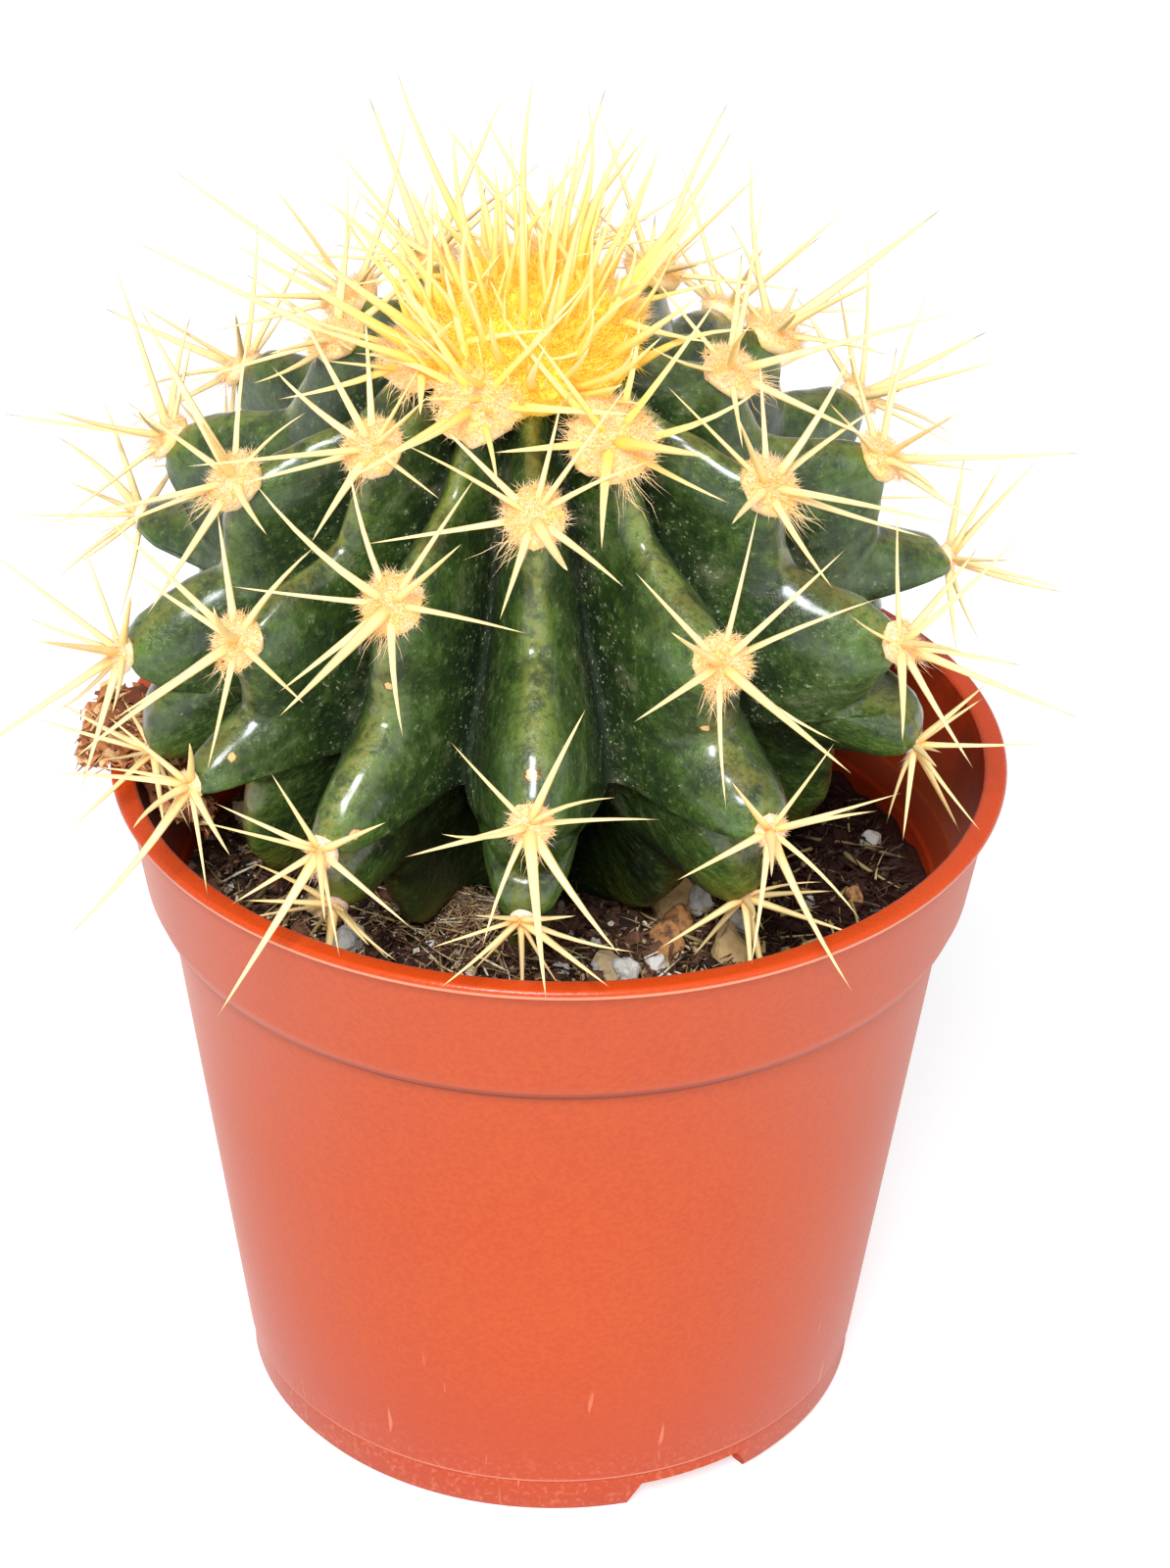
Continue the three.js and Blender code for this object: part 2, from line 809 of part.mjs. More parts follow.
// Underside of the flake: over the rim outside, sloping down to the soil inside
function flakeBottom(radius) {
  const overRim = potHeight + gap;
  const shoulder = innerRimRadius - 0.9;
  const outerFall = 0.7 * Math.max(radius - rimRadius - gap, 0);
  const innerFall = 1.35 * Math.max(shoulder - radius, 0);
  return overRim - outerFall - innerFall;
}

function barkFlake() {
  seededRandom(23);
  const box = new THREE.BoxGeometry(1, 1, 1, flakeCells, flakeCells, 1);
  box.deleteAttribute('normal');
  box.deleteAttribute('uv');
  const geometry = mergeVertices(box, weldDistance);
  const position = geometry.getAttribute('position');
  for (let i = 0; i < position.count; i += 1) {
    const ragged = between(-0.5, 0.5);
    const across = position.getX(i);
    const along = position.getY(i);
    const border = Math.max(Math.abs(across), Math.abs(along)) > 0.49;
    const length = (flakeOuter - flakeInner) * (1 - 0.5 * across * across);
    const stray = border ? flakeRaggedness * ragged : 0;
    const radius = (flakeOuter + flakeInner) / 2 + length * along + stray;
    const aside = across * flakeWidth * (1 - 0.25 * along) + 0.6 * ragged;
    const place = outward(flakeHeading + aside / radius).multiplyScalar(radius);
    const thinned = flakeThickness * (1 - 1.6 * across * across) * (0.8 + 0.5 * Math.abs(ragged));
    const thickness = position.getZ(i) > 0 ? thinned + 0.4 : 0;
    place.z = flakeBottom(radius) + flakeCurl * across * across + thickness;
    position.setXYZ(i, place.x, place.y, place.z);
  }
  return meshOf('bark_flake', solidOf(geometry), materials.bark);
}

// Whole object, its origin at the middle of its box on the surface that it stands on

function pottedCactus() {
  const whole = new THREE.Group();
  const plant = new THREE.Group();
  plant.position.copy(plantMiddle);
  plant.rotation.copy(plantLean);
  plant.add(meshOf('cactus_body', solidOf(bodyGeometry()), materials.skin));
  plant.add(...spinyNodes());
  whole.add(pot(), soil(), barkFlake(), plant);
  const box = new THREE.Box3().setFromObject(whole, true);
  whole.position.set(-(box.min.x + box.max.x) / 2, -(box.min.y + box.max.y) / 2, 0);
  return whole;
}

export default pottedCactus();
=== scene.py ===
import math

import bmesh
import bpy
import numpy as np
from mathutils import Euler, Matrix, Vector, noise


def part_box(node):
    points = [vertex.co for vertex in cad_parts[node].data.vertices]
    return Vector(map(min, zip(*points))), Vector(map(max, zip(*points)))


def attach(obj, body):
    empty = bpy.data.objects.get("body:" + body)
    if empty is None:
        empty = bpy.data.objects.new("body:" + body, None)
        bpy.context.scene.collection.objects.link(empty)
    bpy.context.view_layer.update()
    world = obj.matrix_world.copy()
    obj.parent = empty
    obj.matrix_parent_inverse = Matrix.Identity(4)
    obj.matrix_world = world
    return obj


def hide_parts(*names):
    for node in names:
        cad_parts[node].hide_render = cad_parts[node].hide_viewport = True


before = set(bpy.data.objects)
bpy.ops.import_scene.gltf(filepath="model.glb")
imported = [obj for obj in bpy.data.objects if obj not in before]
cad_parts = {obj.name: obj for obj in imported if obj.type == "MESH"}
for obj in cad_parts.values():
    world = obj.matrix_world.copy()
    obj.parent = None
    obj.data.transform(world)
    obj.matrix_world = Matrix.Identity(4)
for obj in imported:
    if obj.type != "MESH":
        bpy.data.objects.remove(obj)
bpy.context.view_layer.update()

# Sizes are in millimetres until MM turns them into metres
MM = 0.001
DEGREE = math.pi / 180
TURN = 2 * math.pi

# Pot, with heights above the surface that it stands on
POT_HEIGHT = 69.0
RIM_RADIUS = 42.5
LIP_HEIGHT = 1.1
LIP_STEP = 0.2
LIP_UNDER_INSET = 0.1
LIP_UNDER_HEIGHT = 0.45
LIP_EDGE = 0.3
INNER_LIP_EDGE = 0.35
COLLAR_TOP_RADIUS = 41.4
COLLAR_FOOT_RADIUS = 39.6
COLLAR_FOOT = 57.0
COLLAR_UNDERCUT = 0.7
UNDERCUT_HEIGHT = 0.5
BODY_TOP_RADIUS = 37.6
BODY_TOP = 54.8
BODY_FOOT_RADIUS = 30.8
WALL_RINGS = (20, 38)
FOOT_LINE = 4.2
FOOT_LINE_STEP = 0.3
FOOT_RADIUS = 30.4
FOOT_BEVEL = 0.6
FOOT_BEVEL_HEIGHT = 0.8
FOOT_WALL = 2.0
WALL = 1.1
FLOOR_UNDERSIDE = 3.2
FLOOR_TOP = 4.6
FLOOR_RINGS = (16.2, 17.2, 18.2, 19.2, 20.2, 21.2, 22.0)
NOTCH_COUNT = 3
NOTCH_WIDTH = 11.5
NOTCH_HEIGHT = 2.6
FIRST_NOTCH = 28 * DEGREE
DRAIN_COUNT = 6
DRAIN_RADIUS = 2.6
DRAIN_CIRCLE = 19.0
POT_STEPS = 144
EDGE_BEVEL = 0.13
BEVELLED_BEND = 20 * DEGREE
SHARP_BEND = 38 * DEGREE
INSIDE_SHARE = 0.6
RIM_FACE = 0.2
GAP = 0.35

# Room round a limit, where corners and faces are picked by their place
SLACK = 0.5

# Soil
SOIL_EDGE = 52.7
SOIL_MOUND = 3.6
GROUND_RADIUS = 34.5
MOUND_SLOPE = 13
LOW_SIDE = 24
LOW_SIDE_SLOPE = 34
LOW_SIDE_SHARE = 0.35
SOIL_ROOM = 0.15
SOIL_EDGE_DEPTH = 2.5
SOIL_RINGS = 92
SOIL_STEPS = 260
CLODS_PER_MM = 0.33
CLOD_HEIGHT = 1.5
CRUMBS_PER_MM = 0.95
CRUMB_HEIGHT = 0.75
SWELLS_PER_MM = 0.14
SWELL_HEIGHT = 0.8
RELIEF_FADE = 1.5
RELIEF_DROP = 0.2
CRUMBS_FROM = 8
STRANDS_LIE = (15, 33.5)

# Plant, with angles counted down from its crown
PLANT_LEAN = Euler((12 * DEGREE, -1.3 * DEGREE, 0))
PLANT_ASIDE = -2.9
PLANT_ABOVE = 15.9
PLANT_RADIUS = 39.4
PLANT_HALF_HEIGHT = 32.0
OUTLINE_POWER = 1.26
NECK_ANGLE = 160 * DEGREE
NECK_LENGTH = 7.5
NECK_TAPER = 1.2
CROWN_DIP = 2.2
CROWN_DIP_REACH = 11 * DEGREE
RIB_HEADINGS = [0, 33, 66, 98, 125, 151, 177, 203, 230, 251, 289, 311, 333]
RIBS = len(RIB_HEADINGS)
FULL_STRAY_ANGLE = 90 * DEGREE
LARGEST_STRAY = 1.3
CROWN_TURN = 4.6
RIB_DEPTH = 14.5
LOWER_RIB_DEPTH = 3.5
TUBERCLE_DIP = 5.0
TUBERCLE_SKEW = 0.75
TUBERCLE_FLATNESS = 0.7
CREST_SHARPNESS = 1.5
CREST_ROUNDING = 0.12
BLUNT_CREST = (0.03, 0.95)
RIBS_RISE = (2 * DEGREE, 52 * DEGREE)
RIBS_FADE_FROM = 140 * DEGREE
BLUNT_NOSES = (50 * DEGREE, 95 * DEGREE)
DEEP_GROOVES = (80 * DEGREE, 120 * DEGREE)
OLDEST = 120 * DEGREE
SKIN_WAVES = 0.7
BROAD_WAVES_PER_MM = 0.16
FINE_WAVES_PER_MM = 0.55
FINE_WAVES = 0.35
WAVES_RISE = (15 * DEGREE, 40 * DEGREE)
FACING_UP = (-0.35, 0.25)
AREOLE_SPIRAL = 8
FIRST_AREOLE = 38 * DEGREE
AREOLE_STEP = 30.4 * DEGREE
LAST_AREOLE = 119 * DEGREE
CROWN_REACH = 27 * DEGREE
CROWN_START = 13 * DEGREE
AREOLE_STRAYS = np.array([
    [0, -0.13, 0.18, 0.06, 0],
    [0, 0, -0.06, -0.14, 0],
    [-0.1, -0.09, -0.14, -0.09, -0.1],
    [-0.02, -0.18, -0.1, -0.07, 0],
    [-0.2, -0.2, -0.34, -0.2, -0.2],
    [-0.1, -0.12, -0.1, -0.06, -0.1],
    [0, 0.04, -0.03, 0, 0],
    [0.05, 0, 0.07, 0.05, 0],
    [0.1, 0.14, 0.08, 0.1, 0],
    [0.27, 0.4, 0.27, 0.2, 0.2],
    [0.2, 0.15, 0.22, 0.16, 0.1],
    [0, -0.04, -0.1, 0, 0],
    [0, -0.09, 0.2, -0.02, 0],
])
PAD_RADIUS = 3.1
OLD_PAD_RADIUS = 1.25
YOUNG_PAD_RADIUS = 4.3
PAD_WEAR = (45 * DEGREE, 105 * DEGREE)
PAD_FULLNESS = 0.55
DOME_SHARE = 0.88
HAIRS_PER_AREA = 180
HAIR_SHARE = 0.34
HAIR_ROOTS = 0.92
HAIR_RADIUS = 0.036
HANGING_HAIR_RADIUS = 0.034
CROWN_HAIRS = 7000
CROWN_HAIR_LENGTH = 2.4
CROWN_HAIR_RADIUS = 0.05
YOUNG_HAIRS = 2300
YOUNG_HAIR_LENGTH = 1.5
YOUNG_HAIR_RADIUS = 0.038
LOWER_WOOL = 0.62
CROWN_RADIUS = 11.0
CROWN_HEIGHT = 4.8
CROWN_LEVEL = 29.6
CAD_SPINE_RADIUS = 0.58
LONG_SPINE = 20.0
SPINE_RADIUS = 0.64
SPINE_BOW = 0.05
CROWN_SPINE_RADIUS = 0.78
CROWN_SPINE_BOW = 0.11
YOUNG_SPINES = 90
YOUNG_SPINE_SHARE = 0.8
YOUNG_SPINE_LENGTHS = (4, 15)
INNER_TILT = 4
OUTER_TILT = 48
TILT_STRAY = 22
SHORTEST_SPINE_EDGE = 2.5
SPINE_POINT = 9 * DEGREE
SAME_FACE = 0.99
YOUNG_SPINE_LEVEL = 28
SPINE_AGE_SPAN = 55

low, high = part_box("pot")
POT_AXIS = Vector(((low.x + high.x) / 2, (low.y + high.y) / 2, 0)) / MM
AXIS = np.array(POT_AXIS)
plant_middle = POT_AXIS + Vector((PLANT_ASIDE, 0, POT_HEIGHT + PLANT_ABOVE))
PLANT_TURN = np.array(PLANT_LEAN.to_matrix())
PLANT_MIDDLE = np.array(plant_middle)


# Camera, fitted to the rim, collar and foot of the pot in the photograph

CAMERA_DISTANCE = 425.0
CAMERA_ELEVATION = 30.8 * DEGREE
CAMERA_ROLL = 1.08 * DEGREE
CAMERA_LENS = 102.7
AIM_RIGHT = 2.5
AIM_DOWN = 3.9


def make_camera():
    rim_centre = POT_AXIS + Vector((0, 0, POT_HEIGHT))
    forward = Vector((0, math.cos(CAMERA_ELEVATION), -math.sin(CAMERA_ELEVATION)))
    right = Vector((1, 0, 0))
    up = right.cross(forward)
    place = rim_centre - forward * CAMERA_DISTANCE
    aim = rim_centre + right * AIM_RIGHT - up * AIM_DOWN
    forward = (aim - place).normalized()
    right = forward.cross(Vector((0, 0, 1))).normalized()
    up = right.cross(forward)
    turned_right = right * math.cos(CAMERA_ROLL) + up * math.sin(CAMERA_ROLL)
    turned_up = up * math.cos(CAMERA_ROLL) - right * math.sin(CAMERA_ROLL)
    camera = bpy.data.objects.new("camera", bpy.data.cameras.new("camera"))
    bpy.context.collection.objects.link(camera)
    axes = Matrix((turned_right, turned_up, -forward)).transposed().to_4x4()
    camera.matrix_world = Matrix.Translation(place * MM) @ axes
    camera.data.sensor_width = 36
    camera.data.lens = CAMERA_LENS
    camera.data.clip_start = 0.01
    bpy.context.scene.camera = camera


make_camera()


# Shader sheets

class Wire:
    """A shader value that takes part in ordinary arithmetic."""

    def __init__(self, sheet, socket):
        self.sheet = sheet
        self.socket = socket

    def maths(self, operation, *values):
        return self.sheet.node("ShaderNodeMath", {"operation": operation}, *values)

    def __add__(self, other):
        return self.maths("ADD", self, other)

    __radd__ = __add__

    def __sub__(self, other):
        return self.maths("SUBTRACT", self, other)

    def __rsub__(self, other):
        return self.maths("SUBTRACT", other, self)

    def __mul__(self, other):
        return self.maths("MULTIPLY", self, other)

    __rmul__ = __mul__

    def larger(self, other):
        return self.maths("MAXIMUM", self, other)

    def step(self, start, end):
        """0 before start and 1 after end, smooth between them."""
        kind = {"interpolation_type": "SMOOTHSTEP"}
        return self.sheet.node("ShaderNodeMapRange", kind, self, start, end, 0.0, 1.0)


class Sheet:
    """The node sheet of one finish."""

    def __init__(self, name):
        self.material = bpy.data.materials.new(name)
        self.material.use_nodes = True
        self.tree = self.material.node_tree
        self.tree.nodes.clear()

    def node(self, kind, settings=None, *values, out=0, **named):
        made = self.tree.nodes.new(kind)
        for key, value in (settings or {}).items():
            setattr(made, key, value)
        for index, value in enumerate(values):
            self.feed(made.inputs[index], value)
        for key, value in named.items():
            self.feed(made.inputs[key.replace("_", " ")], value)
        return Wire(self, made.outputs[out])

    def feed(self, socket, value):
        if isinstance(value, Wire):
            self.tree.links.new(value.socket, socket)
        elif isinstance(value, tuple) and len(value) == 3 and socket.type == "RGBA":
            socket.default_value = (*value, 1)
        else:
            socket.default_value = value

    def place(self):
        return self.node("ShaderNodeTexCoord", out=3)

    def number(self, name):
        return self.node("ShaderNodeAttribute", {"attribute_name": name}, out=2)

    def height(self):
        return self.node("ShaderNodeSeparateXYZ", None, self.place(), out=2)

    def stretched(self, scale):
        return self.node("ShaderNodeMapping", None, Vector=self.place(), Scale=scale)

    def noise(self, scale, detail=3.0, place=None, roughness=0.55):
        place = place or self.place()
        return self.node("ShaderNodeTexNoise", None, Vector=place, Scale=scale,
                         Detail=detail, Roughness=roughness)

    def chips(self, scale):
        """Small cells, each with a number from 0 to 1 by chance."""
        cells = self.node("ShaderNodeTexVoronoi", None, out=1, Vector=self.place(), Scale=scale)
        return self.node("ShaderNodeSeparateColor", None, cells)

    def mix(self, share, first, second):
        made = self.tree.nodes.new("ShaderNodeMix")
        made.data_type = "RGBA"
        for index, value in ((0, share), (6, first), (7, second)):
            self.feed(made.inputs[index], value)
        return Wire(self, made.outputs[2])

    def layered(self, colour, *layers):
        """The colour with others laid over it in turn, each by its share."""
        for share, layer in layers:
            colour = self.mix(share, colour, layer)
        return colour

    def bump(self, height, strength, distance):
        return self.node("ShaderNodeBump", None, Height=height, Strength=strength,
                         Distance=distance)

    def surface(self, **sockets):
        return self.node("ShaderNodeBsdfPrincipled", None, **sockets)

    def closed(self, surface):
        """The material, with this as its surface."""
        self.material.cycles.emission_sampling = "NONE"
        output = self.tree.nodes.new("ShaderNodeOutputMaterial")
        self.feed(output.inputs[0], surface)
        return self.material

    def finish(self, **sockets):
        return self.closed(self.surface(**sockets))


# Meshes

def object_of(name, mesh, material, replaced=()):
    mesh.materials.clear()
    mesh.materials.append(material)
    piece = bpy.data.objects.new(name, mesh)
    bpy.context.collection.objects.link(piece)
    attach(piece, "root")
    if replaced:
        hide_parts(*replaced)
    return piece


def at_heading(radius, heading, height):
    """Places by their distance from an upright axis, heading from the front and height."""
    aside = radius * np.sin(heading)
    away = -radius * np.cos(heading)
    return np.stack(np.broadcast_arrays(aside, away, height), -1)


def mesh_of(name, form, sharp=None):
    mesh = bpy.data.meshes.new(name)
    form.to_mesh(mesh)
    form.free()
    mesh.shade_smooth()
    if sharp is not None:
        mesh.set_sharp_from_angle(angle=sharp)
    return mesh


def corners_of(mesh):
    corners = np.empty(len(mesh.vertices) * 3)
    mesh.vertices.foreach_get("co", corners)
    return corners.reshape(-1, 3)


def set_corners(mesh, corners):
    mesh.vertices.foreach_set("co", np.ascontiguousarray(corners, dtype=np.float32).ravel())
    mesh.update()


def set_number(mesh, name, values):
    layer = mesh.attributes.new(name, "FLOAT", "POINT")
    layer.data.foreach_set("value", np.ascontiguousarray(values, dtype=np.float32))


def turned_profile(profile, steps):
    """A closed form from a profile of (radius, height) turned about the upright axis."""
    form = bmesh.new()
    corners = [form.verts.new((radius, 0, height)) for radius, height in profile]
    edges = [form.edges.new(pair) for pair in zip(corners, corners[1:])]
    bmesh.ops.spin(form, geom=corners + edges, cent=(0, 0, 0), axis=(0, 0, 1),
                   angle=TURN, steps=steps, use_merge=True)
    bmesh.ops.remove_doubles(form, verts=form.verts, dist=1e-4)
    bmesh.ops.recalc_face_normals(form, faces=form.faces)
    return form


def to_metres(form, centre=(0, 0, 0)):
    bmesh.ops.translate(form, verts=form.verts, vec=centre)
    bmesh.ops.scale(form, verts=form.verts, vec=(MM, MM, MM))


def repeated(name, template, corners, numbers, smooth=True):
    """The template's faces once for each row of corners, which is (copies, corners, 3) in mm."""
    copies, size = corners.shape[:2]
    starts = np.empty(len(template.polygons), dtype=np.int32)
    loops = np.empty(len(template.loops), dtype=np.int32)
    template.polygons.foreach_get("loop_start", starts)
    template.loops.foreach_get("vertex_index", loops)
    shift = np.arange(copies)[:, None]
    mesh = bpy.data.meshes.new(name)
    mesh.vertices.add(copies * size)
    mesh.loops.add(copies * len(loops))
    mesh.polygons.add(copies * len(starts))
    mesh.loops.foreach_set("vertex_index", (loops[None] + shift * size).ravel().astype(np.int32))
    mesh.polygons.foreach_set(
        "loop_start", (starts[None] + shift * len(loops)).ravel().astype(np.int32))
    set_corners(mesh, corners.reshape(-1, 3) * MM)
    mesh.update(calc_edges=True)
    if smooth:
        mesh.shade_smooth()
    else:
        mesh.shade_flat()
    for key, values in numbers.items():
        set_number(mesh, key, values.ravel())
    return mesh


def strand_template(sides, rings, taper):
    """An upright strand of length 1: taper gives its radius by its share of the length."""
    form = bmesh.new()
    bmesh.ops.create_cone(form, cap_ends=True, segments=sides, radius1=1, radius2=1, depth=1)
    bmesh.ops.translate(form, verts=form.verts, vec=(0, 0, 0.5))
    upright = [e for e in form.edges if abs(e.verts[0].co.z - e.verts[1].co.z) > 0.5]
    bmesh.ops.subdivide_edges(form, edges=upright, cuts=rings - 1, use_grid_fill=True)
    for corner in form.verts:
        radius = taper(corner.co.z)
        corner.co.x *= radius
        corner.co.y *= radius
    bmesh.ops.remove_doubles(form, verts=form.verts, dist=1e-4)
    return mesh_of("strand", form)


def unit(vectors):
    return vectors / np.linalg.norm(vectors, axis=-1, keepdims=True)


def strands(name, template, roots, tips, radii, bends, numbers, flatness=1.0):
    """Strands from roots to tips that bow by bends on the way."""
    shape = corners_of(template)
    along = shape[:, 2]
    axes = unit(tips - roots)
    helper = np.where(np.abs(axes[:, 2:3]) > 0.9, [[1.0, 0, 0]], [[0, 0, 1.0]])
    sides = unit(np.cross(axes, helper))
    fronts = np.cross(sides, axes)
    path = roots[:, None] + (tips - roots)[:, None] * along[None, :, None]
    path = path + bends[:, None] * (4 * along * (1 - along))[None, :, None]
    aside = sides[:, None] * shape[None, :, 0:1] + flatness * fronts[:, None] * shape[None, :, 1:2]
    corners = path + aside * radii[:, None, None]
    spread = {key: np.repeat(values[:, None], len(along), 1) for key, values in numbers.items()}
    spread["along"] = np.repeat(along[None], len(roots), 0)
    # How far each corner faces down, where the spine finish paints shade
    spread["under"] = 0.5 - 0.5 * unit(aside + 1e-9)[:, :, 2]
    return repeated(name, template, corners, spread)


def joined(name, meshes, material, replaced=()):
    """One piece from several meshes, with their attributes."""
    pieces = []
    for mesh in meshes:
        piece = bpy.data.objects.new(name, mesh)
        bpy.context.collection.objects.link(piece)
        pieces.append(piece)
    with bpy.context.temp_override(active_object=pieces[0], selected_editable_objects=pieces):
        bpy.ops.object.join()
    mesh = pieces[0].data
    bpy.data.objects.remove(pieces[0])
    return object_of(name, mesh, material, replaced)


# Pot

INNER_COLLAR_FOOT = COLLAR_FOOT - WALL
INNER_BODY_TOP = BODY_TOP - WALL
LIP_FOOT = POT_HEIGHT - LIP_HEIGHT
INNER_RIM_RADIUS = COLLAR_TOP_RADIUS - WALL


def pot_body_radius(height):
    share = (height - FOOT_LINE) / (BODY_TOP - FOOT_LINE)
    return BODY_FOOT_RADIUS + (BODY_TOP_RADIUS - BODY_FOOT_RADIUS) * share


def collar_radius(height):
    share = (height - COLLAR_FOOT) / (LIP_FOOT - COLLAR_FOOT)
    return COLLAR_FOOT_RADIUS + (COLLAR_TOP_RADIUS - COLLAR_FOOT_RADIUS) * share


def pot_profile():
    ledge = collar_radius(INNER_COLLAR_FOOT) - WALL
    return [
        (0, FLOOR_UNDERSIDE),
        *[(radius, FLOOR_UNDERSIDE) for radius in FLOOR_RINGS],
        (FOOT_RADIUS - FOOT_WALL, FLOOR_UNDERSIDE),
        (FOOT_RADIUS - FOOT_WALL, 0),
        (FOOT_RADIUS - FOOT_BEVEL, 0),
        (FOOT_RADIUS, FOOT_BEVEL_HEIGHT),
        (FOOT_RADIUS, FOOT_LINE - FOOT_LINE_STEP),
        (BODY_FOOT_RADIUS, FOOT_LINE),
        *[(pot_body_radius(height), height) for height in WALL_RINGS],
        (BODY_TOP_RADIUS, BODY_TOP),
        (COLLAR_FOOT_RADIUS - COLLAR_UNDERCUT, BODY_TOP + UNDERCUT_HEIGHT),
        (COLLAR_FOOT_RADIUS, COLLAR_FOOT),
        (COLLAR_TOP_RADIUS, LIP_FOOT),
        (RIM_RADIUS - LIP_UNDER_INSET, LIP_FOOT + LIP_STEP),
        (RIM_RADIUS, LIP_FOOT + LIP_UNDER_HEIGHT),
        (RIM_RADIUS, POT_HEIGHT - LIP_EDGE),
        (RIM_RADIUS - LIP_EDGE, POT_HEIGHT),
        (INNER_RIM_RADIUS + INNER_LIP_EDGE, POT_HEIGHT),
        (INNER_RIM_RADIUS, POT_HEIGHT - INNER_LIP_EDGE),
        (ledge, INNER_COLLAR_FOOT),
        (pot_body_radius(INNER_BODY_TOP) - WALL, INNER_BODY_TOP),
        (pot_body_radius(FLOOR_TOP) - WALL, FLOOR_TOP),
        *[(radius, FLOOR_TOP) for radius in reversed(FLOOR_RINGS)],
        (0, FLOOR_TOP),
    ]


# Heights of the outer wall's bends, and its radius there
OUTER_WALL = ([FOOT_LINE, BODY_TOP, COLLAR_FOOT, LIP_FOOT, POT_HEIGHT],
              [BODY_FOOT_RADIUS, BODY_TOP_RADIUS, COLLAR_FOOT_RADIUS, COLLAR_TOP_RADIUS,
               COLLAR_TOP_RADIUS])


def heading_of(place):
    return math.atan2(place.x, -place.y)


def cut_foot_notches(form):
    """Lifts the foot ring's underside between the feet."""
    half = math.atan(NOTCH_WIDTH / 2 / (FOOT_RADIUS - FOOT_WALL / 2))
    for corner in form.verts:
        radius = math.hypot(corner.co.x, corner.co.y)
        if corner.co.z > NOTCH_HEIGHT or radius < FOOT_RADIUS - FOOT_WALL - SLACK:
            continue
        for i in range(NOTCH_COUNT):
            away = heading_of(corner.co) - FIRST_NOTCH - i * TURN / NOTCH_COUNT
            if abs(math.remainder(away, TURN)) < half:
                corner.co.z = NOTCH_HEIGHT
    bmesh.ops.remove_doubles(form, verts=form.verts, dist=1e-3)


def open_drain_holes(form):
    """Removes the floor's faces at each hole, rounds the rims and walls them."""
    for i in range(DRAIN_COUNT):
        heading = (i + 0.5) * TURN / DRAIN_COUNT
        centre = Vector(at_heading(DRAIN_CIRCLE, heading, 0))
        inside = [
            f for f in form.faces
            if f.calc_center_median().z < FLOOR_TOP + SLACK
            and (f.calc_center_median().xy - centre.xy).length < DRAIN_RADIUS
        ]
        bmesh.ops.delete(form, geom=inside, context="FACES")
        rim = [e for e in form.edges if e.is_boundary]
        for corner in {v for e in rim for v in e.verts}:
            away = (corner.co.xy - centre.xy).normalized() * DRAIN_RADIUS
            corner.co.xy = centre.xy + away
        bmesh.ops.bridge_loops(form, edges=rim)


def pot_piece(material):
    form = turned_profile(pot_profile(), POT_STEPS)
    ring_edges = [
        e for e in form.edges
        if len(e.link_faces) == 2 and e.calc_face_angle() > BEVELLED_BEND
        and abs(e.verts[0].co.z - e.verts[1].co.z) < 1e-3
        and e.verts[0].co.z > FOOT_LINE - SLACK
    ]
    bmesh.ops.bevel(form, geom=ring_edges, offset=EDGE_BEVEL, offset_type="OFFSET", segments=2,
                    profile=0.5, affect="EDGES", material=-1, clamp_overlap=True)
    cut_foot_notches(form)
    open_drain_holes(form)
    bmesh.ops.recalc_face_normals(form, faces=form.faces)
    to_metres(form, POT_AXIS)
    mesh = mesh_of("pot", form, sharp=SHARP_BEND)
    places = corners_of(mesh) / MM - AXIS
    outer = np.interp(places[:, 2], *OUTER_WALL)
    inside = np.hypot(places[:, 0], places[:, 1]) < outer - INSIDE_SHARE * WALL
    set_number(mesh, "inside", inside & (places[:, 2] < POT_HEIGHT - RIM_FACE))
    return object_of("nursery_pot", mesh, material, ["pot"])


# Plant body

def signed_power(value, power):
    return np.sign(value) * np.abs(value) ** power


def smoothstep(value, start, end):
    share = np.clip((value - start) / (end - start), 0, 1)
    return share * share * (3 - 2 * share)


def outline_point(angle):
    dip = CROWN_DIP * np.exp(-((angle / CROWN_DIP_REACH) ** 2))
    radius = PLANT_RADIUS * signed_power(np.sin(angle), OUTLINE_POWER)
    height = PLANT_HALF_HEIGHT * signed_power(np.cos(angle), OUTLINE_POWER) - dip
    return radius, height


def outline_normal(angle):
    step = 0.02
    least = 0.03
    radius_before, height_before = outline_point(np.maximum(angle - step, least))
    radius_after, height_after = outline_point(angle + step)
    sideways, upwards = height_before - height_after, radius_after - radius_before
    length = np.hypot(sideways, upwards)
    return sideways / length, upwards / length


def rib_heading(rib, angle):
    index = np.mod(rib, RIBS)
    at_crown = CROWN_TURN + index * 360 / RIBS
    stray = np.array(RIB_HEADINGS)[index] - at_crown
    share = np.minimum(angle / FULL_STRAY_ANGLE, LARGEST_STRAY)
    return (at_crown + stray * share + 360 * (rib // RIBS)) * DEGREE


def areole_angles():
    shift = (AREOLE_SPIRAL * np.arange(RIBS) / RIBS) % 1
    steps = np.arange(-1, 4)[None] + shift[:, None] + AREOLE_STRAYS
    return FIRST_AREOLE + AREOLE_STEP * steps


AREOLE_ANGLES = areole_angles()


def tubercle(rib, angle):
    """1 at an areole and 0 in the saddle that follows it down the rib."""
    share = np.empty(len(angle))
    for i, angles in enumerate(AREOLE_ANGLES):
        here = np.mod(rib, RIBS) == i
        row = np.searchsorted(angles, angle[here], side="right") - 1
        row = np.clip(row, 0, len(angles) - 2)
        place = (angle[here] - angles[row]) / (angles[row + 1] - angles[row])
        share[here] = place - np.floor(place)
    return (0.5 + 0.5 * np.cos(TURN * share ** TUBERCLE_SKEW)) ** TUBERCLE_FLATNESS


